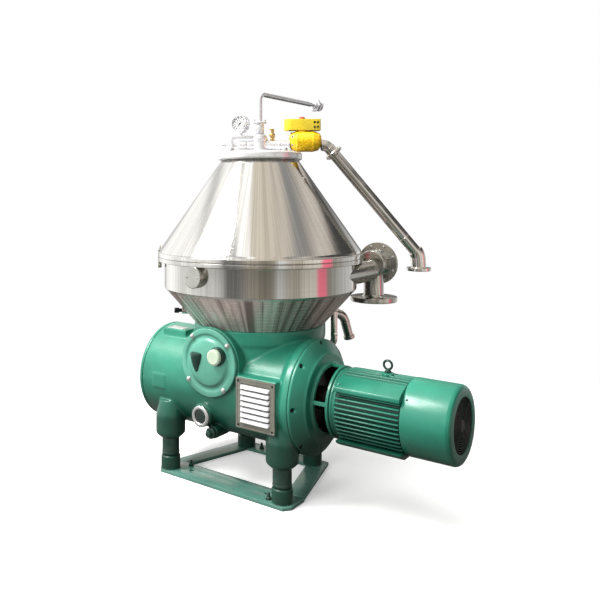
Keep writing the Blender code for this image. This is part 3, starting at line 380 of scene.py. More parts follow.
# Painted light: a pale, partly diffuse copy of the stainless for the top fittings, standing in for the bright
# reflections they show.
TOP_STEEL_PAINTED_LIGHT = make_steel("top_fitting_polish_painted_light", (0.86, 0.86, 0.89), 0.27, (4.0, 4.0, 4.0), 0.02, 0.72)
FITTING_STEEL = make_steel("fitting_steel", (0.56, 0.55, 0.51), 0.2, (6.0, 6.0, 6.0), 0.03)
BOLT_STEEL = make_steel("bolt_zinc", (0.7, 0.71, 0.7), 0.3, (40.0, 40.0, 40.0), 0.1)
MACHINED = make_steel("machined_steel", (0.42, 0.43, 0.44), 0.34, (260.0, 3.0, 3.0), 0.16)
DARK_CAST = make_steel("dark_cast_iron", (0.06, 0.052, 0.05), 0.46, (90.0, 90.0, 90.0), 0.4)
DARK_BOLT = make_steel("dark_bolt", (0.035, 0.038, 0.04), 0.42, (40.0, 40.0, 40.0), 0.2)
BRASS = make_steel("brass_satin", (0.74, 0.53, 0.21), 0.26, (40.0, 40.0, 40.0), 0.12)
YELLOW = make_yellow()
LOUVRE_FRAME = make_plain("louvre_frame_paint", (0.15, 0.145, 0.12), 0.42, 0.1)
LOUVRE_WHITE = make_plain("louvre_slat_white", (0.58, 0.57, 0.58), 0.38, 0.15)
CAP_WHITE = make_plain("cap_ivory", (0.5, 0.6, 0.45), 0.34, 0.3)
BLACK = make_plain("grille_black", (0.01, 0.012, 0.012), 0.55, 0.0, 120.0, 0.3)
DARK_GREEN = make_enamel("dark_green_enamel", (0.003, 0.03, 0.021), 0.34, 0.2, 0.2, 0.8)
RED = make_plain("red_cap_plastic", (0.42, 0.045, 0.022), 0.36, 0.2)
DIAL = make_plain("dial_white", (0.86, 0.86, 0.84), 0.35, 0.5, 60.0, 0.02)
GLASS = make_glass("sight_glass_clear", (0.02, 0.032, 0.026), 0.3)
YELLOW_SMOOTH = make_plain("yellow_drive_paint", (0.8, 0.6, 0.03), 0.34, 0.2, 70.0, 0.1)
CLEAR = make_glass("gauge_glass_clear", (0.97, 0.98, 0.98), 1.0)
PLATE_BLANK = make_plain("blank_plate_aluminium", (0.62, 0.63, 0.6), 0.32, 0.1, 200.0, 0.1, 0.6)
# The CAD slot that each look belongs to, unless a piece names its own
SLOTS = {look.name: slot for slot, looks in {"green_casting": (ENAMEL, ENAMEL_COVER_LIT, ENAMEL_MOTOR, DARK_GREEN),
    "green_sheet": (ENAMEL_SHEET, ENAMEL_BASE_DUST_AND_SHEEN), "stainless": (CONE_STEEL, PAN_STEEL, PLATE_STEEL_PAINTED_LIGHT, BOWL_STEEL,
    TUBE_STEEL, TOP_STEEL_PAINTED_LIGHT, FITTING_STEEL, BOLT_STEEL), "machine_steel": (MACHINED, DARK_CAST, DARK_BOLT),
    "louvre_paint": (LOUVRE_FRAME, LOUVRE_WHITE, PLATE_BLANK), "yellow_paint": (YELLOW, YELLOW_SMOOTH),
    "sight_glass": (GLASS, CLEAR), "dial_case": (DIAL,), "black_paint": (BLACK,), "brass": (BRASS,),
    "signal_red": (RED,), "cap_white": (CAP_WHITE,),}.items() for look in looks}


# ---------------------------------------------------------------- mesh tools

def signed_volume(points, faces):
    total = 0.0
    for face in faces:
        first = points[face[0]]
        for index in range(1, len(face) - 1):
            total += first.dot(points[face[index]].cross(points[face[index + 1]]))
    return total / 6.0


def shell(points, faces):
    points = [Vector(point) for point in points]
    if signed_volume(points, faces) < 0.0:
        faces = [tuple(reversed(face)) for face in faces]
    mesh = bpy.data.meshes.new("shell")
    mesh.from_pydata(points, [], faces)
    mesh.validate()
    item = bpy.data.objects.new("shell", mesh)
    bpy.context.collection.objects.link(item)
    return item


def frame_of(axis, at):
    turn = Vector((0.0, 0.0, 1.0)).rotation_difference(Vector(axis).normalized())
    return Matrix.Translation(Vector(at)) @ turn.to_matrix().to_4x4()


def loft(rings, closed_ends=True):
    count = len(rings[0])
    points = [point for ring in rings for point in ring]
    faces = []
    spans = len(rings) - 1 if closed_ends else len(rings)
    for row in range(spans):
        low = row * count
        high = ((row + 1) % len(rings)) * count
        for col in range(count):
            step = (col + 1) % count
            faces.append((low + col, low + step, high + step, high + col))
    if closed_ends:
        faces.append(tuple(range(count - 1, -1, -1)))
        faces.append(tuple(range((len(rings) - 1) * count, len(rings) * count)))
    return shell(points, faces)


def softened(profile, radius, looped):
    """Profile with each corner rounded by up to the radius."""
    count = len(profile)
    result = []
    for index, point in enumerate(profile):
        if not looped and index in (0, count - 1):
            result.append(point)
            continue
        here = Vector(point)
        back = Vector(profile[index - 1]) - here
        ahead = Vector(profile[(index + 1) % count]) - here
        if back.length < 1e-6 or ahead.length < 1e-6:
            result.append(point)
            continue
        reach = min(radius, back.length * 0.45, ahead.length * 0.45)
        start = here + back.normalized() * reach
        end = here + ahead.normalized() * reach
        for step in range(4):
            share = step / 3
            result.append(tuple(start * (1 - share) ** 2 + here * (2 * share * (1 - share)) + end * share ** 2))
    return result


def turned(profile, axis=(0, 0, 1), at=(0, 0, 0), sides=SIDES, soft=0.0):
    """Turn (radius, level) points, or text giving them in millimetres, round an axis."""
    if isinstance(profile, str):
        profile = [tuple(float(number) / 1000 for number in point.split()) for point in profile.split(",")]
    looped = profile[0][0] != 0.0
    if soft > 0.0:
        profile = softened(profile, soft, looped)
    place = frame_of(axis, at)
    body = profile if looped else profile[1:-1]
    rings = []
    for radius, height in body:
        radius = max(radius, 0.00002)
        rings.append([place @ Vector((radius * cos(tau * k / sides), radius * sin(tau * k / sides), height))
            for k in range(sides)])
    return loft(rings, closed_ends=not looped)


def rod(radius, length, axis=(0, 0, 1), at=(0, 0, 0), sides=48, soft=0.0):
    return turned([(0, 0), (radius, 0), (radius, length), (0, length)], axis, at, sides, soft)


def prism(outline, low, high):
    return loft([[Vector((x, y, low)) for x, y in outline], [Vector((x, y, high)) for x, y in outline]])


def block(low, high, soft=0.0):
    outline = [(low[0], low[1]), (high[0], low[1]), (high[0], high[1]), (low[0], high[1])]
    item = prism(outline, low[2], high[2])
    return bevelled(item, soft) if soft else item


def bevelled(item, width, segments=3, angle=30):
    step = item.modifiers.new("bevel", 'BEVEL')
    step.width = width
    step.segments = segments
    step.limit_method = 'ANGLE'
    step.angle_limit = radians(angle)
    step.harden_normals = False
    return baked(item)


def baked(item):
    graph = bpy.context.evaluated_depsgraph_get()
    mesh = bpy.data.meshes.new_from_object(item.evaluated_get(graph))
    item.modifiers.clear()
    item.data = mesh
    return item


def combine(base, tools, operation):
    for tool in tools:
        step = base.modifiers.new("step", 'BOOLEAN')
        step.operation = operation
        step.solver = 'EXACT'
        step.object = tool
    baked(base)
    for tool in tools:
        bpy.data.objects.remove(tool)
    return base


def add(base, *tools):
    return combine(base, tools, 'UNION')


def cut(base, *tools):
    return combine(base, tools, 'DIFFERENCE')


def join(items):
    """Lay several shells into one mesh, without a union."""
    mesh = bmesh.new()
    for item in items:
        mesh.from_mesh(item.data)
    base = items[0]
    data = bpy.data.meshes.new("joined")
    mesh.to_mesh(data)
    mesh.free()
    base.data = data
    for item in items[1:]:
        bpy.data.objects.remove(item)
    return base


def moved(item, matrix):
    item.data.transform(matrix)
    return item


def arc_path(corners, bends, steps=10):
    path = [Vector(corners[0])]
    for index in range(1, len(corners) - 1):
        here = Vector(corners[index])
        back = (Vector(corners[index - 1]) - here).normalized()
        ahead = (Vector(corners[index + 1]) - here).normalized()
        half = back.angle(ahead) / 2.0
        reach = bends[index - 1] * cos(half) / sin(half)
        centre = here + (back + ahead).normalized() * (bends[index - 1] / sin(half))
        start = here + back * reach - centre
        end = here + ahead * reach - centre
        swing = start.angle(end)
        for step in range(steps + 1):
            share = step / steps
            mix = start * sin((1.0 - share) * swing) + end * sin(share * swing)
            path.append(centre + mix / sin(swing))
    path.append(Vector(corners[-1]))
    return path


def pipe(path, outer, inner=0.0, sides=40):
    rings = []
    side = (path[1] - path[0]).normalized().orthogonal().normalized()
    for index, point in enumerate(path):
        ahead = (path[min(index + 1, len(path) - 1)] - path[max(index - 1, 0)]).normalized()
        side = (side - ahead * side.dot(ahead)).normalized()
        rings.append((point, side.copy(), ahead.cross(side)))

    def ring(entry, radius):
        point, first, second = entry
        return [point + first * (radius * cos(tau * k / sides)) + second * (radius * sin(tau * k / sides))
            for k in range(sides)]

    outer_rings = [ring(entry, outer) for entry in rings]
    if inner <= 0.0:
        return loft(outer_rings)
    return loft(outer_rings + [ring(entry, inner) for entry in reversed(rings)], closed_ends=False)


def round_loop(centre, axis, radius, thick, sides=64):
    """A closed wire ring."""
    place = frame_of(axis, centre)
    rings = []
    for k in range(sides):
        angle = tau * k / sides
        out = Vector((cos(angle), sin(angle), 0))
        rings.append([place @ (out * (radius + thick * cos(tau * m / 10))
            + Vector((0, 0, thick * sin(tau * m / 10)))) for m in range(10)])
    return loft(rings, closed_ends=False)


def circle(count, radius, at, plane=(1, 2), first=0.5):
    """Places evenly round a circle in the plane of two axes, with their angles."""
    for turn in range(count):
        angle = tau * (turn + first) / count
        spot = Vector(at)
        spot[plane[0]] += radius * cos(angle)
        spot[plane[1]] += radius * sin(angle)
        yield spot, angle


def about_line(angle):
    return Matrix.Translation(LINE) @ Matrix.Rotation(angle, 4, 'X')


def around(azimuth, radius, height):
    return Vector((radius * cos(azimuth), radius * sin(azimuth), height))


def outlet_point(along, z, across=0.0):
    azimuth = OUTLET_AZIMUTH
    return Vector((along * cos(azimuth) - across * sin(azimuth), along * sin(azimuth) + across * cos(azimuth),
        z))


def outlet_axis():
    return outlet_point(1.0, 0.0)


def hex_bolt(at, axis, across, height, turn=0.0):
    """Hexagon head with a chamfered top and a washer face."""
    place = frame_of(axis, at)
    radius = across / sqrt(3.0)
    rings = []
    for level, scale in ((0.0, 1.0), (height * 0.8, 1.0), (height, 0.86)):
        rings.append([place @ Vector((radius * scale * cos(tau * k / 6 + turn),
            radius * scale * sin(tau * k / 6 + turn), level)) for k in range(6)])
    head = bevelled(loft(rings), across * 0.04, 2)
    washer = turned([(0, -height * 0.05), (across * 0.66, -height * 0.05), (across * 0.66, height * 0.14),
        (0, height * 0.14)], axis, at, 24, across * 0.02)
    return join([head, washer])


def dome_bolt(at, axis, radius, height):
    return turned([(0, -0.001), (radius, -0.001), (radius, height * 0.35), (radius * 0.8, height * 0.78),
        (radius * 0.35, height), (0, height)], axis, at, 24, radius * 0.18)


def present(item, name, look, *nodes, body="machine", slot=None, flat=False, sharp=32):
    """Name a piece, paint it, and let it ride for its CAD nodes."""
    item.name = name
    item.data.name = name
    item.data.materials.clear()
    item.data.materials.append(look)
    item.location = SPINDLE_AT
    if not flat:
        item.data.shade_smooth()
        item.data.set_sharp_from_angle(angle=radians(sharp))
    bpy.context.view_layer.update()
    slot or SLOTS[look.name]
    if nodes:
        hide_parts(*nodes)
    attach(item, body)
    return item


# ---------------------------------------------------------------- base

def rail_outer_x(y):
    return 0.272 - (y + 0.105) * 0.2656


def rail_inner_x(y):
    return 0.212 - (y + 0.144) * 0.2846


def base_rails():
    front = prism([(-0.288, -0.236), (-0.268, -0.262), (0.268, -0.262), (0.288, -0.236), (0.288, -0.155),
        (-0.288, -0.155)], 0.0, 0.012)
    holes = [rod(0.007, 0.05, at=(side * 0.165, -0.2, -0.01), sides=32) for side in (-1, 1)]
    front = bevelled(cut(front, *holes), 0.0022)
    present(front, "front_base_rail", ENAMEL_BASE_DUST_AND_SHEEN, "base_rail_front")
    low = -0.155 + GAP
    high = 0.178
    for side, name in ((-1, "left"), (1, "right")):
        rail = prism([(side * rail_outer_x(low), low), (side * rail_outer_x(high), high),
            (side * rail_inner_x(high), high), (side * rail_inner_x(low), low)], 0.0, 0.012)
        present(bevelled(rail, 0.002), name + "_base_rail", ENAMEL_BASE_DUST_AND_SHEEN, "base_rail_" + name)
    rear = prism([(-rail_inner_x(0.112) + GAP, 0.112), (rail_inner_x(0.112) - GAP, 0.112),
        (rail_inner_x(high) - GAP, high), (-rail_inner_x(high) + GAP, high)], 0.0, 0.012)
    present(bevelled(rear, 0.002), "rear_base_rail", ENAMEL_BASE_DUST_AND_SHEEN, "base_rail_rear")
    studs = []
    for x, y in ((-0.196, -0.17), (0.196, -0.234), (-0.086, 0.14)):
        studs.append(hex_bolt((x, y, 0.012), (0, 0, 1), 0.017, 0.009))
        studs.append(rod(0.005, 0.022, at=(x, y, 0.012), sides=20, soft=0.001))
    present(join(studs), "base_anchor_studs", DARK_GREEN, slot="green_sheet")


def feet():
    for name, (x, y) in FEET.items():
        cup = turned("0 12.4, 35.6 12.4, 35.6 58, 32.5 62, 28.5 62, 28.5 40, 0 40", at=(x, y, 0), sides=72,
            soft=0.0016)
        bead = round_loop((x, y, 0.014), (0, 0, 1), 0.0346, 0.0016)
        present(join([cup, bead]), name + "_foot_cup", ENAMEL, "foot_cup_" + name)
        post = turned("0 40.4, 28.1 40.4, 28.1 66, 33 68, 33 74, 32 75.5, 32 152, 0 152", at=(x, y, 0),
            sides=72, soft=0.0012)
        present(post, name + "_leg_post", DARK_GREEN, "leg_post_" + name)


# ---------------------------------------------------------------- gear case

def soft_cast(item, voxel, rounds):
    """Round every inner and outer corner of a shape, as a casting has."""
    mesh = item.modifiers.new("mesh", 'REMESH')
    mesh.mode = 'VOXEL'
    mesh.voxel_size = voxel
    mesh.use_smooth_shade = True
    melt = item.modifiers.new("melt", 'SMOOTH')
    melt.factor = 0.5
    melt.iterations = rounds
    return baked(item)


def gear_case():
    body = turned([(0, CASE_LEFT), (CASE_R, CASE_LEFT), (CASE_R, 0.247), (CASE_FLANGE_R, 0.268),
        (CASE_FLANGE_R, CASE_RIGHT), (0, CASE_RIGHT)], AXIS_X, LINE)
    column = turned([(0, 0.195), (0.17, 0.195), (0.2425, 0.37), (0.2425, 0.5), (NECK_R, 0.512),
        (NECK_R, NECK_TOP), (0, NECK_TOP)])
    parts = [column, rod(0.1245, 0.1, (0, 1, 0), (-0.029, -0.2672, 0.444), 96),
        block((0.094, -0.28, 0.245), (0.254, -0.1, 0.42)), rod(0.0395, 0.1, (0, 1, 0), (SIGHT_X, -0.26, 0.246)),
        rod(0.048, 0.08, at=(0, 0, 0.15)), rod(0.023, 0.08, (0, 1, 0), (-0.036, -0.246, 0.19)),
        block((-0.33, -0.18, 0.44), (-0.215, -0.08, 0.5195)),
        block((-0.306, -0.2645, 0.312), (-0.246, -0.2, 0.364))]
    for x, y in FEET.values():
        top = 0.285 if y < 0 else 0.315
        parts.append(turned([(0, 0.129), (0.038, 0.129), (0.055, 0.145), (0.055, top - 0.07),
            (0.04, top - 0.015), (0, top)], at=(x, y, 0), sides=64))
    body = add(body, *parts)
    reach = CASE_LEFT - 0.01
    rooms = [rod(0.152, 0.045 - reach, AXIS_X, (reach, DRIVE_Y, DRIVE_Z)),
        rod(0.16, 0.3, AXIS_X, (0.085, DRIVE_Y, DRIVE_Z)),
        turned("0 163, 33 163, 33 240, 62 240, 62 470, 56 470, 56 530, 190 530, 190 600, 0 600", sides=64),
        block((0.114, -0.3, 0.27), (0.234, -0.15, 0.395)), rod(0.095, 0.2, (0, 1, 0), (-0.029, -0.3, 0.444)),
        rod(0.022, 0.11, (0, 1, 0), (SIGHT_X, -0.3, 0.246)),
        rod(CASE_FLANGE_R + 0.001, 0.06, AXIS_X, (CASE_RIGHT, DRIVE_Y, DRIVE_Z)),
        turned([(0, NECK_TOP), (NECK_R, NECK_TOP), (0.277, 0.59), (0, 0.59)])]
    for x, y in FEET.values():
        rooms.append(rod(0.0334, 0.0724, at=(x, y, 0.08)))
    body = soft_cast(cut(body, *rooms), 0.0032, 9)
    present(body, "gear_case_casting", ENAMEL, "gear_case", sharp=60)
    present(moved(block((-0.0375, -0.02, 0), (0.0375, 0.02, 0.0014), 0.0006),
        frame_of((0, -0.02, 1), (-0.277, -0.15, 0.519))), "blank_name_plate", PLATE_BLANK)
    rivets = [dome_bolt((-0.277 + x, -0.15 + y, 0.5202), (0, 0, 1), 0.0022, 0.0014) for x in (-0.033, 0.033)
        for y in (-0.0155, 0.0155)]
    present(join(rivets), "name_plate_rivets", BOLT_STEEL)


def case_end_cover():
    cover = turned([(0, -0.379), (0.06, -0.379), (0.075, -0.372), (0.135, -0.372), (0.15, -0.378),
        (CASE_R - 0.005, -0.378), (CASE_R, -0.374), (CASE_R, CASE_LEFT - GAP), (0.06, CASE_LEFT - GAP),
        (0.06, -0.33), (0.0335, -0.33), (0.0335, -0.36), (0, -0.36)], AXIS_X, LINE, soft=0.003)
    ribs = []
    for turn in range(6):
        rib = block((-0.378, -0.0045, 0.06), (-0.37, 0.0045, 0.142), 0.0025)
        ribs.append(moved(rib, about_line(tau * (turn + 0.5) / 6)))
    present(join([cover] + ribs), "end_cover", ENAMEL, "case_end_cover")
    bolts = [hex_bolt(at, (-1, 0, 0), 0.013, 0.006, angle) for at,
        angle in circle(8, 0.165, (-0.378, DRIVE_Y, DRIVE_Z))]
    present(join(bolts), "end_cover_bolts", BOLT_STEEL, slot="machine_steel")


def front_cover():
    seat = 0.2672 + GAP
    present(turned([(0, seat), (0.12, seat), (0.12, 0.278), (0.117, 0.281), (0.102, 0.281), (0.0955, 0.2772),
        (0.087, 0.2772), (0.077, 0.2855), (0.06, 0.288), (0.04, 0.2893), (0, 0.29)], FRONT, (-0.029, 0, 0.444),
        soft=0.004), "round_front_cover", ENAMEL_COVER_LIT, "front_cover")
    spout = []
    for level, wide, deep in ((0.016, 0.006, 0.006), (0.03, 0.0135, 0.011), (0.05, 0.02, 0.017),
        (0.07, 0.025, 0.02), (0.078, 0.0255, 0.0205), (0.0825, 0.0225, 0.0185), (0.084, 0.015, 0.012)):
        spout.append([Vector((-0.074 + wide * cos(tau * k / 48), -0.285 + deep * sin(tau * k / 48),
            0.393 + level)) for k in range(48)])
    present(loft(spout), "oil_spout", DARK_GREEN)
    present(turned("0 0, 33 0, 32.5 10, 30 16.8, 0 16.8", FRONT, (CAP_X, -0.281, CAP_Z), 64, 0.0015),
        "counter_collar", DARK_GREEN)
    bolts = []
    for turn in range(4):
        angle = radians(39 + 90 * turn)
        at = (-0.029 + 0.1095 * cos(angle), -0.2805, 0.444 + 0.1095 * sin(angle))
        bolts.append(turned("0 -1, 9.8 -1, 9.8 1.2, 0 1.2", FRONT, at, 32, 0.0004))
        bolts.append(dome_bolt(at, FRONT, 0.0082, 0.008))
    present(join(bolts), "front_cover_bolts", BOLT_STEEL)
    knurl = []
    for k in range(72):
        radius = 0.028 if k % 2 else 0.0272
        knurl.append((radius * cos(tau * k / 72), radius * sin(tau * k / 72)))
    place = frame_of(FRONT, (CAP_X, -0.2985, CAP_Z))
    grip = loft([[place @ Vector((x * s, y * s, z)) for x, y in knurl] for z,
        s in ((0.0, 0.95), (0.0012, 1.0), (0.0095, 1.0), (0.0112, 0.965))])
    crown = turned("0 9, 26.2 9, 25 13.2, 20.5 15, 18 14.6, 0 14.6", FRONT, (CAP_X, -0.2985, CAP_Z), 64, 0.0012)
    stem = rod(0.0055, 0.03, (0, 1, 0), (CAP_X, -0.2985, CAP_Z))
    mark = block((CAP_X - 0.001, -0.3134, CAP_Z + 0.008), (CAP_X + 0.001, -0.3125, CAP_Z + 0.019), 0.0002)
    present(join([grip, crown, stem, mark]), "counter_cap", CAP_WHITE, "rev_counter_cap", body="counter")


def sight_and_drain():
    at = (SIGHT_X, -0.2604, 0.246)
    ring = turned("38 0, 38 10, 34 14, 27 14, 24 10, 24 0", FRONT, at, 96, 0.0012)
    screws = [dome_bolt(spot, FRONT, 0.0026, 0.0006) for spot,
        _ in circle(6, 0.0305, (at[0], at[1] - 0.0134, at[2]), (0, 2))]
    present(join([ring] + screws), "sight_bezel", BOLT_STEEL, "sight_ring")
    present(turned("0 4, 23.6 4, 23.6 8.5, 20 10, 0 10.4", FRONT, at, 64, 0.0005), "sight_window", GLASS,
        "sight_glass")
    present(turned("0 0, 23.6 0, 23.6 1.2, 0 1.2", FRONT, at, 48), "sight_backing", BLACK)
    at = (-0.036, -0.2464, 0.19)
    plug = turned("0 -40, 8.2 -40, 8.2 0, 20 0, 20 10, 18.5 12, 0 12", FRONT, at, 48, 0.001)
    head = hex_bolt((at[0], at[1] - 0.012, at[2]), FRONT, 0.0225, 0.0138, 0.3)
    present(join([plug, head]), "oil_drain_plug", DARK_GREEN, "drain_plug")


def louvre():
    face = -0.28 - GAP
    panel = block((0.096, face - 0.0028, 0.248), (0.252, face, 0.417))
    levels = [0.2765 + 0.0187 * row for row in range(7)]
    windows = [block((0.1165, face - 0.02, z - 0.0065), (0.2315, face + 0.01, z + 0.0085)) for z in levels]
    panel = bevelled(cut(panel, *windows), 0.0007, 2)
    fold = bevelled(cut(block((0.096, face - 0.004, 0.248), (0.252, face - 0.0002, 0.417)),
        block((0.102, face - 0.02, 0.254), (0.246, face + 0.02, 0.411))), 0.0008, 2)
    present(join([panel, fold]), "louvre_frame", LOUVRE_FRAME, "louvre_panel")
    slats = []
    for z in levels:
        rings = []
        for x, tuck in ((0.1155, 0.65), (0.1182, 0.12), (0.121, 0.0), (0.227, 0.0), (0.2298, 0.12),
            (0.2325, 0.65)):
            ring = []
            for step in range(9):
                share = step / 8
                depth = 0.0104 * (1 - share) ** 0.65 * (1 - tuck)
                ring.append(Vector((x, face - 0.0016 - depth, z - 0.006 + 0.012 * sin(share * pi / 2))))
            rings.append(ring + [point + Vector((0, 0.0012, -0.0006)) for point in reversed(ring)])
        slats.append(loft(rings))
    present(join(slats), "louvre_slats", LOUVRE_WHITE, sharp=50)
    present(block((0.115, -0.279, 0.271), (0.233, -0.2784, 0.394)), "louvre_mesh_backing", BLACK)
    screws = [dome_bolt((x, face - 0.004, z), FRONT, 0.0036, 0.0016) for x in (0.106, 0.242)
        for z in (0.2585, 0.4065)]
    present(join(screws), "louvre_screws", DARK_BOLT)


# ---------------------------------------------------------------- motor side

def motor_adapter():
    """Conical cover of the clutch room, its windowed neck, and the bolts sunk in its rim."""
    start = CASE_RIGHT + GAP
    ring = turned([(CASE_FLANGE_R, start), (CASE_FLANGE_R, 0.302), (0.157, 0.33), (0.151, 0.3365),
        (0.145, 0.3372), (0.127, 0.338), (0.12, 0.344), (0.12, 0.398), (0.07, 0.398), (0.07, 0.39),
        (0.11, 0.39), (0.11, 0.34), (0.146, 0.326), (0.16, 0.312), (0.16, start)], AXIS_X, LINE, soft=0.0026)
    cuts = []
    half = radians(42)
    for turn in range(4):
        place = about_line(radians(37 + 90 * turn))
        rings = []
        for x in (0.346, 0.389):
            inner = [Vector((x, 0.085 * cos(a), 0.085 * sin(a))) for a in evenly(-half, half, 25)]
            outer = [Vector((x, 0.125 * cos(a), 0.125 * sin(a))) for a in evenly(half, -half, 25)]
            rings.append([place @ point for point in inner + outer])
        cuts.append(loft(rings))
    heads = []
    for at, _ in circle(8, 0.186, LINE, first=0):
        cuts.append(rod(0.008, 0.04, AXIS_X, at + Vector((0.3005, 0, 0)), 32))
        heads.append(turned("2.6 0, 6.2 0, 6.2 6, 5.6 6.8, 3 6.8, 2.6 3", AXIS_X, at + Vector((0.3006, 0, 0)),
            24, 0.0004))
    ring = bevelled(cut(ring, *cuts), 0.0012, 2, 50)
    present(ring, "adapter_ring", ENAMEL, "motor_adapter")
    present(join(heads), "adapter_bolts", DARK_BOLT)
    nuts = []
    for angle in (radians(38), radians(142), radians(212), radians(322)):
        at = (0.39, DRIVE_Y + 0.096 * cos(angle), DRIVE_Z + 0.096 * sin(angle))
        nuts.append(hex_bolt(at, (-1, 0, 0), 0.013, 0.0085, angle))
    present(join(nuts), "motor_flange_bolts", BOLT_STEEL, slot="machine_steel")
    present(round_loop((CASE_RIGHT + 0.0002, DRIVE_Y, DRIVE_Z), AXIS_X, CASE_FLANGE_R - 0.001, 0.0009, 128),
        "adapter_seam_seal", BLACK)


def evenly(first, last, count):
    return [first + (last - first) * k / (count - 1) for k in range(count)]


def fin(x_low, x_high, root, tip, thick, place):
    """A straight cooling fin with draft, a rounded crest and rounded ends."""
    rings = []
    for x, scale in ((x_low, 0.0), (x_low + 0.002, 0.75), (x_low + 0.006, 1.0), (x_high - 0.006, 1.0),
        (x_high - 0.002, 0.75), (x_high, 0.0)):
        top = root + (tip - root) * (0.55 + 0.45 * scale)
        rings.append([place @ Vector((x, side, level)) for side,
            level in ((-thick * 0.62, root), (-thick * 0.46, top - 0.0016), (-thick * 0.26, top - 0.0004),
            (0, top), (thick * 0.26, top - 0.0004), (thick * 0.46, top - 0.0016), (thick * 0.62, root))])
    return loft(rings)


def motor_frame():
    low = 0.4184
    high = 0.64
    core = turned([(0.092, low), (0.1085, low), (0.1085, high), (0.092, high)], AXIS_X, LINE, 96, 0.001)
    pieces = [core]
    for row in range(-6, 5):
        level = row * 0.0143
        for side in (-1, 1):
            root = sqrt(0.107 ** 2 - level ** 2)
            tip = sqrt(0.1224 ** 2 - level ** 2)
            place = Matrix.Translation((0, DRIVE_Y, DRIVE_Z + level)) @ Matrix.Rotation(-side * pi / 2, 4, 'X')
            pieces.append(fin(low + 0.001, high - 0.001, root, tip, 0.005, place))
    for row in range(-3, 4):
        shift = row * 0.015
        root = sqrt(0.107 ** 2 - shift ** 2)
        tip = sqrt(0.1194 ** 2 - shift ** 2)
        place = Matrix.Translation((0, DRIVE_Y + shift, DRIVE_Z))
        pieces.append(fin(low + 0.001, high - 0.001, root, tip, 0.0044, place))
    shoulder = [(0.052, 0.096), (0.06, 0.1083), (0.098, 0.0925), (0.1165, 0.08), (0.1184, 0.076),
        (0.1184, 0.066), (0.1165, 0.0642), (0.09, 0.0642)]
    keel = [(0.04, -0.1163), (0.074, -0.1163), (0.1, -0.104), (0.1068, -0.0945), (0.095, -0.0936),
        (0.04, -0.096)]
    for side in (-1, 1):
        for outline in (shoulder, keel):
            bar = loft([[Vector((x, DRIVE_Y + side * y, DRIVE_Z + z)) for y, z in outline]
                for x in (low + 0.0004, high - 0.0002)])
            pieces.append(bevelled(bar, 0.0016, 3, 20))
        notch = rod(0.0045, 0.004, (0, side, 0.5), (low + 0.012, DRIVE_Y + side * 0.105, DRIVE_Z + 0.086), 24,
            0.0008)
        pieces.append(notch)
    pieces.append(turned("0 0, 22 0, 21 22, 0 24.5", at=(0.552, DRIVE_Y, DRIVE_Z + 0.1), sides=48, soft=0.002))
    present(join(pieces), "finned_motor_frame", ENAMEL_MOTOR, "motor_frame", sharp=40)
    present(turned("114 398.4, 114 405.5, 110.5 408.5, 109.5 417.8, 91 417.8, 91 414.5, 28.5 414.5, 28.5 398.4",
        AXIS_X, LINE, soft=0.0022), "motor_bell", ENAMEL, "motor_end_bell")
    eye = round_loop((0.552, DRIVE_Y, DRIVE_Z + 0.1475), (0, 1, 0), 0.014, 0.004)
    stem = turned("0 101, 5.5 101, 5.5 125.4, 11 125.4, 11 128, 6.8 131, 5.5 135.5, 0 135.5",
        at=(0.552, DRIVE_Y, DRIVE_Z), sides=40, soft=0.0008)
    present(join([eye, stem]), "motor_lifting_eye", DARK_GREEN, "lifting_eye", slot="green_sheet")


def terminal_box():
    box = block((0.49, DRIVE_Y + 0.1232, 0.3), (0.6, DRIVE_Y + 0.1805, 0.4), 0.004)
    lid = block((0.49, DRIVE_Y + 0.1815, 0.3), (0.6, DRIVE_Y + 0.19, 0.4), 0.003)
    plug = turned("0 0, 11 0, 11 4, 0 4", (0, 0, -1), (0.545, DRIVE_Y + 0.152, 0.3035), 32, 0.001)
    present(join([box, lid, plug]), "motor_terminal_box", ENAMEL_SHEET, "terminal_box")
    screws = [dome_bolt((x, DRIVE_Y + 0.1875, z), (0, 1, 0), 0.0036, 0.0022) for x in (0.499, 0.591)
        for z in (0.309, 0.391)]
    present(join(screws), "terminal_box_screws", BOLT_STEEL, slot="machine_steel")


def fan_cowl():
    present(turned("121.2 640.4, 121.2 780, 117.5 788.5, 110 793, 86.5 793, 85.5 791.5, 85.5 788.5, "
        "107.5 788.5, 117 776, 119 770, 119 640.4", AXIS_X, LINE, soft=0.0022), "motor_fan_cowl", ENAMEL_SHEET,
        "fan_cowl")
    wires = [round_loop((0.7885, DRIVE_Y, DRIVE_Z), AXIS_X, radius, 0.0013, 72)
        for radius in evenly(0.018, 0.085, 11)]
    for turn in range(4):
        spoke = rod(0.0014, 0.078, (0, 0, 1), (0.7895, 0, 0.01), 12)
        wires.append(moved(spoke, about_line(tau * (turn + 0.5) / 4)))
    wires.append(turned("0 -1, 19 -1, 19 1.5, 0 2.2", AXIS_X, (0.7885, DRIVE_Y, DRIVE_Z), 48, 0.0006))
    present(join(wires), "fan_grille", BLACK)
    screws = []
    for turn in range(4):
        angle = tau * (turn + 0.5) / 4 + 0.12
        out = Vector((0, cos(angle), sin(angle)))
        screws.append(dome_bolt(Vector((0.655, DRIVE_Y, DRIVE_Z)) + out * 0.1208, out, 0.0036, 0.0018))
    present(join(screws), "fan_cowl_screws", DARK_BOLT)


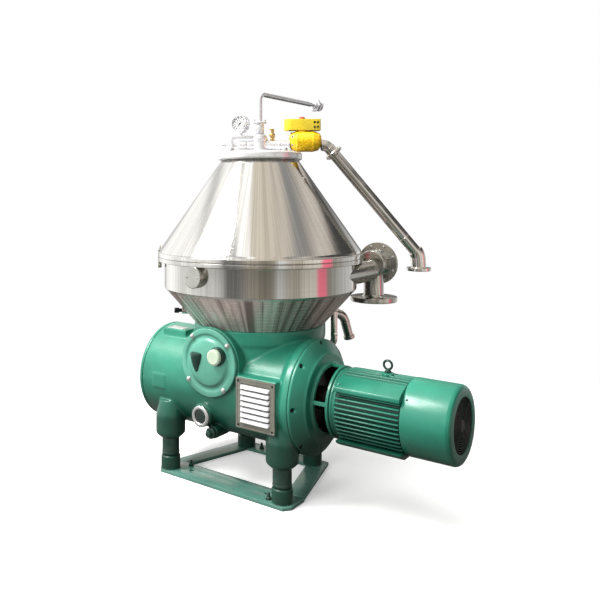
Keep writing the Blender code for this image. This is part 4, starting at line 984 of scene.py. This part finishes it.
def motor_rotor():
    present(turned("0 236, 16 236, 16 246, 95 246, 98 252, 98 300, 40 306, 40 345, 26 345, 26 440, 87 440, "
        "87 610, 20 610, 20 735, 0 735", AXIS_X, LINE, 96, 0.001), "motor_rotor_shaft", DARK_CAST,
        "motor_shaft", body="rotor")
    hub = turned("20.6 690, 35 690, 35 722, 105 722, 105 725, 20.6 725", AXIS_X, LINE, 96, 0.0008)
    pieces = [hub]
    for turn in range(9):
        blade = block((0.695, -0.0015, 0.03), (0.7235, 0.0015, 0.104), 0.0008)
        pieces.append(moved(blade, about_line(tau * turn / 9)))
    present(join(pieces), "cooling_fan", BLACK, "motor_fan", body="rotor", slot="machine_steel")


# ---------------------------------------------------------------- drive and bowl

def drive_line():
    present(turned("0 -352, 16 -352, 18 -350, 18 195, 0 195", AXIS_X, LINE, 96, 0.001), "horizontal_shaft",
        MACHINED, "drive_shaft", body="drive")
    present(turned("18.4 120, 45 120, 45 165, 112 172, 112 318, 102 318, 102 184, 40 180, 18.4 180", AXIS_X,
        LINE, 96, 0.0015), "clutch_bell", DARK_CAST, "clutch_drum", body="drive")


def bowl_parts():
    body = turned("20.4 640.3, 45 612, 60 612, 70 625, 200 655, 228 675, 235 690, 235 835, 214 835, 214 708, "
        "196 690, 60 672, 40 712, 15.4 712, 15.4 700.3, 20.4 640.6", soft=0.0025)
    ports = [moved(block((0.2, -0.018, 0.7525), (0.245, 0.018, 0.7615)),
        Matrix.Rotation(tau * k / 4, 4, 'Z')) for k in range(4)]
    present(cut(body, *ports), "bowl_bottom_shell", BOWL_STEEL, "bowl_body", body="bowl")
    present(turned("213.6 762, 213.6 844.5, 209 852, 64 1010, 56 1022, 56 1062, 20 1066, 20 1061, 50 1057, "
        "50 1018, 58 1004, 203 845, 204.6 762", soft=0.003), "bowl_top_shell", BOWL_STEEL, "bowl_cover",
        body="bowl")
    ring = turned("235.9 800, 246 800, 248 803, 248 858, 243 862, 214 862, 214 848.5, 214.8 846, 214.8 836.4, "
        "235.9 835.4", soft=0.0015)
    holes = [rod(0.006, 0.02, at=around(tau * k / 12, 0.231, 0.853), sides=24) for k in range(12)]
    present(cut(ring, *holes), "bowl_clamp_ring", BOWL_STEEL, "bowl_lock_ring", body="bowl")
    leaves = []
    count = 42
    for leaf in range(count):
        base = 0.742 + 0.156 * leaf / count
        outer = min(0.186, 0.191 - 0.912 * (base + 0.02 - 0.845))
        leaves.append((outer, base))
        leaves.append((outer - 0.0028, base + 0.0022))
    top = leaves[-1][1]
    present(turned(leaves + [(0.0765, top + 0.014), (0.0765, 0.812), (0.14, 0.742)], sides=96),
        "cone_disc_stack", BOWL_STEEL, "disc_stack", body="bowl")
    present(turned("41 724, 150 724, 150 728, 75.7 808, 75.7 924, 34 960, 34 1006, 30 1006, 30 958, 70 918, "
        "70 806, 138 730, 41 730", sides=96, soft=0.002), "feed_distributor", BOWL_STEEL, "distributor",
        body="bowl")
    present(turned("62 682, 190 700.5, 204.5 715, 213 716, 213 761.1, 206 761.1, 204 735, 192 718, 62 700",
        soft=0.0015), "sliding_bowl_bottom", BOWL_STEEL, "sliding_bottom", body="bowl_bottom")
    present(turned("20 1028, 44 1028, 44 1040, 19.2 1040, 19.2 1190, 16 1190, 16 1028", sides=96, soft=0.001),
        "centripetal_disc", FITTING_STEEL, "paring_disc")


# ---------------------------------------------------------------- hood

def clamp_lug(azimuth):
    """Swing clamp over the rim: cheeks, claw, bolt and nut."""
    turn = Matrix.Rotation(radians(azimuth), 4, 'Z')
    low = RIM_SEAM - 0.0462
    lower = [block((0.3722, -0.014, low), (0.3838, -0.008, RIM_SEAM - 0.016), 0.0012),
        block((0.3722, 0.008, low), (0.3838, 0.014, RIM_SEAM - 0.016), 0.0012),
        rod(0.0026, 0.029, (0, 1, 0), (0.378, -0.0145, low + 0.012), 24, 0.0005)]
    upper = [block((0.364, -0.0135, RIM_SEAM + 0.0155), (0.3838, 0.0135, RIM_SEAM + 0.0225), 0.0012),
        rod(0.003, 0.034, (0, 0, 1), (0.376, 0, RIM_SEAM + 0.004), 24),
        hex_bolt((0.376, 0, RIM_SEAM + 0.0225), (0, 0, 1), 0.0105, 0.007)]
    return [moved(item, turn) for item in lower], [moved(item, turn) for item in upper]


def hood():
    low = RIM_SEAM - GAP
    pan = turned([(0.075, PAN_BOTTOM), (0.244, PAN_BOTTOM), (PAN_R - 0.002, PAN_SHOULDER - 0.002),
        (PAN_R, PAN_SHOULDER + 0.001), (PAN_R, low - RIM_THICK), (RIM_R, low - RIM_THICK), (RIM_R, low),
        (PAN_R - SHEET, low), (PAN_R - SHEET, PAN_SHOULDER + 0.002), (0.24, PAN_BOTTOM + SHEET),
        (0.079, PAN_BOTTOM + SHEET), (0.079, 0.6), (0.075, 0.6)], sides=192, soft=0.0025)
    cone = turned([(RIM_R, RIM_SEAM), (RIM_R, RIM_SEAM + RIM_THICK), (0.379, RIM_SEAM + RIM_THICK + 0.0015),
        (CONE_FOOT_R, CONE_FOOT), (CONE_TOP_R, CONE_TOP), (0.08, CONE_TOP), (0.08, CONE_TOP - SHEET),
        (CONE_TOP_R - 0.003, CONE_TOP - SHEET), (CONE_FOOT_R - 0.006, CONE_FOOT - 0.001),
        (PAN_R, RIM_SEAM + 0.01), (PAN_R, RIM_SEAM)], sides=192, soft=0.0022)
    present(pan, "hood_pan_shell", PAN_STEEL, "hood_pan")
    present(cone, "hood_cone_shell", CONE_STEEL, "hood_cone", body="hood")
    present(round_loop((0, 0, RIM_SEAM - GAP / 2), (0, 0, 1), RIM_R - 0.002, 0.0011, 192), "hood_rim_seal",
        BLACK)
    lowers = []
    uppers = []
    for azimuth in LUG_AZIMUTHS:
        lower, upper = clamp_lug(azimuth)
        lowers += lower
        uppers += upper
    axis = around(radians(268), 1, 0)
    blind = turned("0 356.5, 38 356.5, 38 377.5, 36.8 378.5, 36.8 380, 38 381, 38 383, 36 385, 0 385", axis,
        (0, 0, 0.7535), 96, 0.001)
    screws = [dome_bolt(around(radians(268), 0.385, 0) + Vector((x, 0, 0.7535)), axis, 0.0036, 0.0018)
        for x in (-0.024, 0.024)]
    present(join([blind] + screws + lowers), "pan_fittings", FITTING_STEEL)
    present(join(uppers), "cone_clamps", FITTING_STEEL, body="hood")
    seat_axis = around(LOCK_AZIMUTH, 1, 0)
    present(turned("7.5 262, 13 262, 13 294, 7.5 294", seat_axis, (0, 0, LOCK_Z), 48, 0.001), "lock_screw_seat",
        FITTING_STEEL)
    at = around(LOCK_AZIMUTH, 0.3, LOCK_Z)
    present(turned("0 -23, 9 -23, 10 -20, 10 -6, 6.8 -5, 6.8 30, 5 34, 0 34", -seat_axis, at, 48, 0.0012),
        "bowl_locking_screw", DARK_BOLT, "lock_screw", body="bowl_lock")


def solids_outlet():
    duct = rod(0.0405, 0.26, (0, 1, 0), (0.318, 0.02, 0.743), 96)
    duct = cut(duct, rod(PAN_R - 0.0005, 0.2, at=(0, 0, 0.65), sides=192))
    trap = turned("0 277, 50 277, 54 281, 54 332, 80 332, 80 337.5, 78.5 338, 78.5 339, 80 339.5, 80 344, "
        "60 344, 56 348, 0 348", (0, 1, 0), (0.325, 0, 0.767), 96, 0.0012)
    drop = turned("0 625, 88 625, 88 643, 44 643, 38 650, 38 750, 0 750", at=(0.325, 0.3, 0), sides=96,
        soft=0.0015)
    duct = add(duct, trap, drop)
    bores = [rod(0.034, 0.16, at=(0.325, 0.3, 0.6), sides=64)]
    bores += [rod(0.006, 0.04, at=at, sides=32) for at, _ in circle(4, 0.068, (0.325, 0.3, 0.615), (0, 1))]
    duct = bevelled(cut(duct, *bores), 0.0008, 2, 40)
    present(duct, "tangential_outlet", FITTING_STEEL, "solids_outlet")
    bolts = []
    for at, angle in circle(8, 0.069, (0.325, 0.344, 0.767), (0, 2)):
        bolts.append(hex_bolt(at, (0, 1, 0), 0.0105, 0.0038, angle))
        bolts.append(hex_bolt((at[0], 0.3322, at[2]), FRONT, 0.0105, 0.006, angle))
    present(join(bolts), "outlet_cover_bolts", BOLT_STEEL)


def pan_drain():
    azimuth = radians(58)
    path = arc_path([around(azimuth, 0.254, 0.583), around(azimuth, 0.362, 0.556),
        around(azimuth, 0.39, 0.462)], [0.045])
    run = pipe(path, 0.018, 0.015)
    ahead = (path[-1] - path[-2]).normalized()
    collar = turned("22 0, 22 12, 17.5 12, 17.5 0", ahead, path[-1] - ahead * 0.0115, 48, 0.001)
    bead = [round_loop(path[k], path[k + 1] - path[k], 0.018, 0.0009, 48) for k in (1, len(path) - 2)]
    shell_cut = turned("0 540, 244.5 540, 244.5 557.4, 360 687.5, 0 687.5", sides=192)
    present(join([cut(run, shell_cut), collar] + bead), "pan_drain_elbow", FITTING_STEEL, "pan_drain")
    azimuth = radians(38)
    path = arc_path([around(azimuth, 0.282, 0.613), around(azimuth, 0.282, 0.462),
        around(azimuth, 0.244, 0.462)], [0.026])
    nuts = [turned("0 0, 14.8 0, 14.8 12, 0 12", at=around(azimuth, 0.282, z), sides=6) for z in (0.59, 0.5)]
    present(join([pipe(path, 0.0128)] + [bevelled(nut, 0.0008, 2) for nut in nuts]), "leak_water_pipe",
        TUBE_STEEL, "leak_pipe")


def top_plate():
    low = CONE_TOP + GAP
    present(turned([(HEAD_R - 0.003, low), (PLATE_R - 0.004, low), (PLATE_R, low + 0.004),
        (PLATE_R, PLATE_TOP - 0.006), (PLATE_R - 0.006, PLATE_TOP), (0.07, PLATE_TOP),
        (0.067, PLATE_TOP - 0.0018), (HEAD_R - 0.003, PLATE_TOP - 0.0018)], sides=192, soft=0.003),
        "hood_top_plate", PLATE_STEEL_PAINTED_LIGHT, "top_plate", body="hood")
    bolts = []
    for azimuth in (350, 250, 170, 90):
        spot = around(radians(azimuth), 0.128, PLATE_TOP)
        bolts.append(hex_bolt(spot, (0, 0, 1), 0.0185, 0.0115, azimuth))
    present(join(bolts), "top_plate_bolts", BOLT_STEEL, body="hood")


# ---------------------------------------------------------------- pipework

def feed_pipe():
    stem = turned("6.8 760, 12.5 760, 12.5 1262, 16.5 1263.5, 16.5 1290, 15 1291.5, 15 1293.5, 16.5 1295, "
        "16.5 1303.5, 25.5 1303.5, 25.5 1306.5, 18 1309, 11 1311, 6.8 1311", sides=64, soft=0.0008)
    bend = pipe(arc_path([(0, 0, 1.305), (0, 0, FEED_TOP), (0, 0.402, FEED_TOP)], [0.024]), 0.0095, 0.0068)
    sleeve = turned("9.4 0, 17 0, 17 13.5, 9.4 13.5", (0, 1, 0), (0, 0.398, FEED_TOP), 48, 0.001)
    flats = turned("9.8 14, 27.8 14, 27.8 34, 9.8 34", (0, 1, 0), (0, 0.398, FEED_TOP), 6)
    flats = bevelled(flats, 0.0014, 2)
    tail = turned("6.8 32, 19.5 34, 19.5 47, 23.5 48, 23.5 52, 6.8 52", (0, 1, 0), (0, 0.398, FEED_TOP), 48,
        0.001)
    threads = [round_loop((0, 0.398 + 0.0365 + 0.0022 * k, FEED_TOP), (0, 1, 0), 0.0194, 0.0006, 40)
        for k in range(5)]
    ears = []
    for turn in (60, 240):
        ear = block((0.02, -0.003, 1.304), (0.0255, 0.003, 1.318), 0.0012)
        ears.append(moved(ear, Matrix.Rotation(radians(turn), 4, 'Z')))
    present(join([stem, bend, sleeve, flats, tail] + threads + ears), "feed_tube", TOP_STEEL_PAINTED_LIGHT, "feed_pipe",
        body="hood")


def yoke_plate(start, end, low, high, thick, radius=0.01):
    outline = []
    for centre_s, centre_z, first in ((end - radius, high - radius, 0), (start + radius, high - radius, 90),
        (start + radius, low + radius, 180), (end - radius, low + radius, 270)):
        for step in range(10):
            angle = radians(first + 10 * step)
            outline.append((centre_s + radius * cos(angle), centre_z + radius * sin(angle)))
    half = thick / 2
    return loft([[outlet_point(s, z, across) for s, z in outline] for across in (-half, half)])


def product_head():
    low = PLATE_TOP + GAP
    out = outlet_axis()
    stem = turned([(0.015, low), (0.034, low), (0.034, low + 0.007), (HEAD_R, low + 0.01), (HEAD_R, 1.252),
        (0.022, 1.26), (0.015, 1.26)], sides=96, soft=0.0015)
    rings = turned("26.5 1236, 30 1238, 30 1246, 26.5 1248", sides=96, soft=0.0012)
    stub = turned("15.5 0, 19.5 0, 19.5 110, 15.5 110", out, outlet_point(0.0, HEAD_Z), 64)
    lip = turned("19 0, 26.5 0, 26.5 7.6, 19 7.6", out, outlet_point(0.104, HEAD_Z), 64, 0.001)
    band = turned("19 0, 21.2 0, 21.2 6, 19 6", out, outlet_point(0.07, HEAD_Z), 64, 0.001)
    valve = turned("6.8 -85, 13.5 -85, 17 -80, 17 -52, 14.8 -50, 14.8 -46, 17 -44, 17 -10, 6.8 -10", out,
        outlet_point(0.0, HEAD_Z), 64, 0.0012)
    frame_plate = bevelled(cut(yoke_plate(-0.11, -0.01, 1.1965, 1.256, 0.026),
        yoke_plate(-0.1, -0.02, 1.2065, 1.246, 0.04, 0.006)), 0.0022)
    leg = turned("0 0, 9.5 0, 9.5 6, 6 8, 6 17, 0 17", at=outlet_point(-0.072, 1.247), sides=32, soft=0.0008)
    foot = turned("0 1192.4, 12 1192.4, 10.5 1198.5, 0 1198.5", at=outlet_point(-0.058, 0), sides=32)
    present(join([stem, rings, stub, lip, band, valve, frame_plate, leg, foot]), "discharge_head", TOP_STEEL_PAINTED_LIGHT,
        "product_head", body="hood")
    at = outlet_point(0.048, HEAD_Z + 0.012, -0.004)
    cock = turned("0 0, 8.5 0, 8.5 12, 6.2 14, 6.2 18, 0 18", at=at, sides=32, soft=0.0008)
    hexed = turned("0 18, 11.2 18, 11.2 31, 0 31", at=at, sides=6)
    neck = turned("0 30, 6.6 31, 5.8 41.5, 0 42", at=at, sides=32, soft=0.0006)
    nozzle = rod(0.0036, 0.016, FRONT, at + Vector((0, -0.004, 0.0245)), 24, 0.0008)
    present(join([cock, bevelled(hexed, 0.0008, 2), neck, nozzle]), "sampling_cock", BRASS, body="hood")
    at = outlet_point(0.048, HEAD_Z + 0.0544, -0.004)
    knob = turned("0 0, 7 0, 7.2 3.5, 6 8, 0 8", at=at, sides=32, soft=0.0008)
    bar = moved(block((-0.0028, -0.02, 0.002), (0.0028, 0.004, 0.006), 0.0012), Matrix.Translation(at))
    present(join([knob, bar]), "sampling_cock_handle", BRASS, "cock_handle", body="cock")


def valve_spindle():
    at = outlet_point(-0.066, HEAD_Z)
    rod_part = turned("0 0, 6 0, 6 40, 5.3 42, 5.3 64, 10.5 65, 11 67, 11 76, 10 78, 0 78", -outlet_axis(), at,
        40, 0.0008)
    threads = [round_loop(at - outlet_axis() * (0.043 + 0.0024 * k), outlet_axis(), 0.0054, 0.0007, 32)
        for k in range(8)]
    present(join([rod_part] + threads), "throttle_spindle", TOP_STEEL_PAINTED_LIGHT, "valve_spindle", body="throttle")


def pressure_gauge():
    centre = outlet_point(-0.072, GAUGE_Z)
    case = turned("0 -16, 29 -16, 33 -12.5, 33.5 -4, 33.5 8, 34.5 8.8, 34.5 12.5, 32.5 14, 30 11.5, 30 4, 0 4",
        FRONT, centre, 96, 0.0008)
    neck = turned("0 0, 7.8 0, 7.8 6, 6 8, 6 14, 0 14", at=outlet_point(-0.072, GAUGE_Z - 0.0455), sides=6)
    present(join([case, neck]), "dial_gauge_case", TOP_STEEL_PAINTED_LIGHT, "pressure_gauge", body="hood", slot="dial_case")
    present(turned("0 3.8, 29.8 3.8, 29.8 5.8, 0 5.8", FRONT, centre, 64), "gauge_dial", DIAL, body="hood")
    ticks = []
    for k in range(28):
        angle = radians(-135 + 10 * k)
        length = 0.0056 if k % 3 == 0 else 0.0032
        wide = 0.0007 if k % 3 == 0 else 0.0004
        tick = block((-wide, -0.0003, 0.0268 - length), (wide, 0.0002, 0.0268))
        ticks.append(moved(tick, Matrix.Translation(centre + Vector((0, -0.0059, 0)))
            @ Matrix.Rotation(angle, 4, 'Y')))
    present(join(ticks), "gauge_scale", BLACK, body="hood", flat=True)
    pivot = centre + Vector((0, -0.0066, 0))
    needle = loft([[Vector((-0.0016, y, -0.008)), Vector((0.0016, y, -0.008)), Vector((0.001, y, 0.004)),
        Vector((0.0002, y, 0.0215)), Vector((-0.0002, y, 0.0215)), Vector((-0.001, y, 0.004))]
        for y in (-0.0012, -0.0002)])
    moved(needle, Matrix.Translation(pivot) @ Matrix.Rotation(radians(-135), 4, 'Y'))
    hub = turned("0 -4, 1.2 -4, 1.2 1, 3.2 1, 2.8 2.2, 0 2.2", FRONT, pivot, 32, 0.0003)
    present(join([needle, hub]), "gauge_pointer", BLACK, "gauge_needle", body="needle")
    present(turned("0 12.2, 29.8 10.8, 29.8 11.8, 0 13.2", FRONT, centre, 64), "gauge_glass", CLEAR,
        body="hood")


def pill_block(start, end, low, high, thick):
    half = thick / 2
    outline = [(start + half - half * sin(radians(a)), half * cos(radians(a))) for a in range(0, 181, 6)]
    outline += [(end - 0.008, -half), (end - 0.002, -half + 0.002), (end, -half + 0.008), (end, half - 0.008),
        (end - 0.002, half - 0.002), (end - 0.008, half)]
    return loft([[outlet_point(s, z, across) for s, across in outline] for z in (low, high)])


def yellow_valve():
    out = outlet_axis()
    body = turned("0 112, 24 112, 34 122, 39.5 142, 39.5 202, 34 222, 24 232, 0 232", out, (0, 0, 1.2345), 96,
        0.006)
    bonnet = rod(0.021, 0.035, at=outlet_point(VALVE_MIDDLE, 1.24), sides=64)
    ribs = [turned("0 0, 40.2 0, 40.2 6, 0 6", out, outlet_point(s, 1.2345), 64) for s in (0.136, 0.196)]
    body = add(body, bonnet, *ribs)
    body = cut(body, rod(0.0175, 0.2, out, outlet_point(0.08, HEAD_Z), 64),
        rod(0.0058, 0.09, at=outlet_point(VALVE_MIDDLE, 1.2), sides=32))
    body = soft_cast(body, 0.0011, 6)
    swell = body.modifiers.new("cast", 'DISPLACE')
    lumps = bpy.data.textures.new("valve_cast", 'CLOUDS')
    lumps.noise_scale = 0.01
    swell.texture = lumps
    swell.texture_coords = 'LOCAL'
    swell.strength = 0.0016
    swell.mid_level = 0.75
    present(baked(body), "yellow_valve_casting", YELLOW, "valve_body", body="hood", sharp=60)
    bar = pill_block(0.092, 0.229, 1.2754, 1.318, 0.048)
    bar = cut(bar, rod(0.0058, 0.1, at=outlet_point(VALVE_MIDDLE, 1.25), sides=32))
    bar = bevelled(bar, 0.0055, 5, 40)
    lid = bevelled(pill_block(0.0975, 0.2235, 1.3155, 1.318, 0.038), 0.0008, 2)
    present(join([bar, lid]), "yellow_valve_drive", YELLOW_SMOOTH, "valve_actuator", body="hood")
    at = outlet_point(VALVE_MIDDLE, 1.3184)
    stem = turned("0 -112, 5 -112, 5 0, 13 0, 12.5 4, 9.5 8.2, 5 9, 0 9", at=at, sides=48, soft=0.0008)
    across = (-out.y, out.x, 0)
    flap = turned("0 -1.5, 16 -1.5, 16 1.5, 0 1.5", across, outlet_point(VALVE_MIDDLE, HEAD_Z), 64, 0.0006)
    present(join([stem, flap]), "valve_indicator_cap", RED, "valve_disc", body="flap")
    side = Vector((out.y, -out.x, 0))
    bolts = []
    for s, z in ((0.205, 1.288), (0.217, 1.288), (0.205, 1.306), (0.217, 1.306)):
        bolts.append(dome_bolt(outlet_point(s, z) + side * 0.0238, side, 0.0042, 0.003))
    present(join(bolts), "valve_drive_screws", DARK_BOLT, body="hood")
    nuts = []
    for k in range(6):
        angle = tau * (k + 0.5) / 6
        spot = outlet_point(0.1115, 1.2345 + 0.03 * sin(angle), 0.03 * cos(angle))
        nuts.append(hex_bolt(spot + out * 0.01, -out, 0.008, 0.005, angle))
    present(join(nuts), "valve_body_nuts", BOLT_STEEL, body="hood", slot="machine_steel")


def product_pipe():
    start = 0.232 + GAP
    path = arc_path([outlet_point(start, HEAD_Z), outlet_point(0.254, HEAD_Z), outlet_point(0.6, 0.808),
        outlet_point(0.603, 0.757)], [0.04, 0.05])
    run = pipe(path, PIPE_R, PIPE_R - 0.002, 64)
    slope = (outlet_point(0.6, 0.808) - outlet_point(0.254, HEAD_Z)).normalized()
    first = outlet_point(0.254, HEAD_Z) + slope * 0.03
    clamp = turned("20.5 0, 26.2 0, 30 4.5, 30 15.5, 26.2 20, 20.5 20", slope, first, 64, 0.0012)
    weld = [round_loop(outlet_point(0.254, HEAD_Z) + slope * reach, slope, PIPE_R - 0.0002, 0.001, 64)
        for reach in (0.014, 0.455)]
    side = slope.cross(Vector((0, 0, 1))).normalized()
    up = side.cross(slope).normalized()
    middle = first + slope * 0.01
    wing = [rod(0.0048, 0.02, side, middle + up * 0.0285 - side * 0.01, 32, 0.001),
        rod(0.0048, 0.02, side, middle - up * 0.0285 - side * 0.01, 32, 0.001),
        hex_bolt(middle + up * 0.0285 + side * 0.01, side, 0.01, 0.006),
        hex_bolt(middle - up * 0.0285 + side * 0.01, side, 0.01, 0.006)]
    pad = turned("19.5 745, 45 745, 45 757, 30 757, 27.5 760, 19.5 760", at=outlet_point(0.603, 0), sides=96,
        soft=0.0014)
    elbow = pipe(path[12:], ELBOW_R, PIPE_R - 0.001, 64)
    present(join([run, elbow, clamp, pad] + weld + wing), "product_line", TUBE_STEEL, "product_pipe",
        body="hood")


# ---------------------------------------------------------------- stage

VIEW_AZIMUTH = radians(37.7475)
VIEW_RIGHT = Vector((cos(VIEW_AZIMUTH), sin(VIEW_AZIMUTH), 0.0))
CAMERA_AT = Vector((1.2743, -2.1978, 1.026))
FLOOR_LIFT = 0.3


def floor():
    """Pale studio floor that fades out into the white backdrop."""
    mesh = bmesh.new()
    bmesh.ops.create_circle(mesh, cap_ends=True, segments=96, radius=2.6)
    data = bpy.data.meshes.new("studio_floor")
    mesh.to_mesh(data)
    mesh.free()
    item = bpy.data.objects.new("studio_floor", data)
    bpy.context.collection.objects.link(item)
    look = Look("pale_floor", (0.93, 0.93, 0.925), 0.0, 0.6)
    seen = look.node("LightPath").outputs["Is Camera Ray"]
    pale = look.mix(look.spread(look.noise(2.0, 3.0), 0.0, 1.0), (0.925, 0.925, 0.92), (0.94, 0.94, 0.935))
    look.colour(look.mix(seen, (0.13, 0.13, 0.12), pale))
    look.shader.inputs["Emission Color"].default_value = (1.0, 1.0, 1.0, 1.0)
    look.wire(look.math('MULTIPLY', seen, FLOOR_LIFT), look.shader.inputs["Emission Strength"])
    reach = look.node("VectorMath", operation='LENGTH')
    look.wire(look.place, reach.inputs[0])
    look.wire(look.ease(reach.outputs["Value"], 1.0, 0.0, 0.75, 2.2), look.shader.inputs["Alpha"])
    data.materials.append(look.mat)
    item.location = (0, 0, -0.0006)


def world():
    """Soft hall light: pale everywhere, with long ceiling lights and darker walls for metal to mirror."""
    sky = bpy.data.worlds.new("hall")
    bpy.context.scene.world = sky
    sky.use_nodes = True
    web = Web(sky.node_tree)
    web.nodes.clear()
    way = web.node("TexCoord").outputs["Generated"]
    rays = web.node("LightPath").outputs
    rise = web.parts_of(way)[2]
    side = web.dot(way, VIEW_RIGHT)
    ahead = web.dot(way, Vector((-VIEW_RIGHT.y, VIEW_RIGHT.x, 0.0)))

    def bearing(first, second, share):
        turn = web.math('MULTIPLY_ADD', web.math('ARCTAN2', first, second), share / pi)
        turn.node.inputs[2].default_value = 0.5
        return turn

    ceiling = web.ramp(bearing(side, web.math('MAXIMUM', rise, 0.0), 1.0), CEILING)
    wall = web.ramp(bearing(side, web.math('MULTIPLY', ahead, -1.0), 0.5), WALLS)
    mirrored = web.mix(web.ease(rise, 0.0, 1.0, 0.1, 0.34), wall, ceiling)
    mirrored = web.mix(web.ease(rise, 0.0, 1.0, -0.22, -0.36), mirrored, (0.1, 0.1, 0.09))
    height = web.math('ADD', web.math('MULTIPLY', rise, 0.5), 0.5)
    leaning = web.math('SUBTRACT', 0.85, web.math('MULTIPLY', side, 0.5))
    lit = web.mix(1.0, web.ramp(height, AMBIENT), leaning, 'MULTIPLY')
    hall = web.mix(rays["Is Diffuse Ray"], mirrored, lit)
    back = web.node("Background")
    web.wire(web.mix(rays["Is Camera Ray"], hall, (1.0, 1.0, 1.0)), back.inputs["Color"])
    web.wire(back.outputs[0], web.node("OutputWorld").inputs["Surface"])


# Brightness that lights the paint, from straight below (0) by the horizon (0.5) to straight above (1)
AMBIENT = [(0.0, 0.03), (0.45, 0.07), (0.55, 0.2), (0.75, 0.5), (1.0, 0.8)]
# Brightness of the ceiling from the left wall (0) over the top (0.5) to the right wall (1)
CEILING = [(0.0, 1.3), (0.228, 1.35), (0.234, 0.66), (0.254, 0.62), (0.26, 1.45), (0.289, 1.45), (0.294, 0.92),
    (0.329, 0.84), (0.334, 0.4), (0.371, 0.5), (0.378, 1.5), (0.436, 1.5), (0.443, (0.84, 0.77, 0.66)),
    (0.5, (0.94, 0.86, 0.74)), (0.53, (0.76, 0.69, 0.59)), (0.56, (0.9, 0.83, 0.72)), (0.59, (0.66, 0.6, 0.53)),
    (0.62, (0.86, 0.8, 0.71)), (0.655, (0.62, 0.57, 0.51)), (0.668, 0.4), (0.7, 0.33),
    (0.735, (0.52, 0.48, 0.44)), (0.76, (0.8, 0.74, 0.68)), (0.796, (0.74, 0.68, 0.62)), (0.803, 0.07),
    (1.0, 0.07)]
# Brightness of the walls, once round from behind the machine, by its left, front and right
WALLS = [(0.0, 1.1), (0.053, 0.62), (0.1, 1.4), (0.142, 1.6), (0.194, 1.1), (0.237, 1.3), (0.274, 1.15),
    (0.33, 1.1), (0.362, 0.85), (0.385, 0.26), (0.425, 0.22), (0.452, (0.5, 0.46, 0.4)),
    (0.479, (0.46, 0.42, 0.35)), (0.505, (0.28, 0.25, 0.21)), (0.532, (0.4, 0.37, 0.31)), (0.548, 0.88),
    (0.565, 0.86), (0.586, (0.7, 0.64, 0.56)), (0.614, (0.6, 0.55, 0.47)), (0.64, (1.0, 0.94, 0.86)),
    (0.68, (0.92, 0.88, 0.8)), (0.69, (1.25, 0.24, 0.38)), (0.718, (1.25, 0.28, 0.42)),
    (0.727, (0.34, 0.34, 0.3)), (0.75, (0.42, 0.41, 0.37)), (0.79, 0.64), (0.85, 0.74), (0.9, 1.05),
    (0.935, 0.22), (0.975, 0.08), (0.99, 0.5), (1.0, 1.1)]


def lamp(name, at, aim, size, energy, colour=(1.0, 1.0, 1.0), mirrored=True):
    light = bpy.data.lights.new(name, 'AREA')
    light.shape = 'RECTANGLE'
    light.size = size[0]
    light.size_y = size[1]
    light.energy = energy
    light.color = colour
    item = bpy.data.objects.new(name, light)
    bpy.context.collection.objects.link(item)
    item.location = at
    item.rotation_euler = (Vector(aim) - Vector(at)).to_track_quat('-Z', 'Y').to_euler()
    item.visible_camera = False
    item.visible_glossy = mirrored


def lights():
    lamp("key_window", (-1.9, -2.2, 3.9), (-0.2, 0, 0.5), (1.8, 1.8), 270.0, (1.0, 0.99, 0.97))
    lamp("front_soft", (-0.9, -4.2, 1.9), (-0.1, 0, 0.5), (1.8, 1.4), 130.0, mirrored=False)
    lamp("top_soft", (0.2, -0.5, 3.8), (0.1, 0, 0.4), (2.4, 2.4), 80.0, mirrored=False)
    lamp("right_fill", (3.0, -2.4, 1.6), (0.2, 0, 0.5), (1.6, 1.6), 12.0, mirrored=False)


def camera():
    data = bpy.data.cameras.new("camera")
    data.sensor_width = 36.0
    data.lens = 41.438
    data.shift_x = 0.13637
    data.shift_y = -0.17252
    data.clip_end = 60.0
    item = bpy.data.objects.new("camera", data)
    bpy.context.collection.objects.link(item)
    item.location = CAMERA_AT
    item.rotation_euler = (pi / 2, 0.0, VIEW_AZIMUTH)
    bpy.context.scene.camera = item


def dress_inner_nodes():
    """The turned inner parts that keep their CAD shape."""
    looks = {"gear_wheel": BRASS, "bowl_spindle": MACHINED, "shaft_bearing_left": FITTING_STEEL,
        "shaft_bearing_right": FITTING_STEEL, "spindle_bearing_bottom": FITTING_STEEL,
        "spindle_bearing_top": FITTING_STEEL}
    for name, look in looks.items():
        data = frame["nodes"][name].data
        data.materials.clear()
        data.materials.append(look)


for make in (base_rails, feet, gear_case, case_end_cover, front_cover, sight_and_drain, louvre, motor_adapter,
    motor_frame, terminal_box, fan_cowl, motor_rotor, drive_line, bowl_parts, hood, solids_outlet, pan_drain,
    top_plate, feed_pipe, product_head, valve_spindle, pressure_gauge, yellow_valve, product_pipe,
    dress_inner_nodes, floor, world, lights, camera):
    make()
bpy.context.scene.view_settings.view_transform = 'Standard'
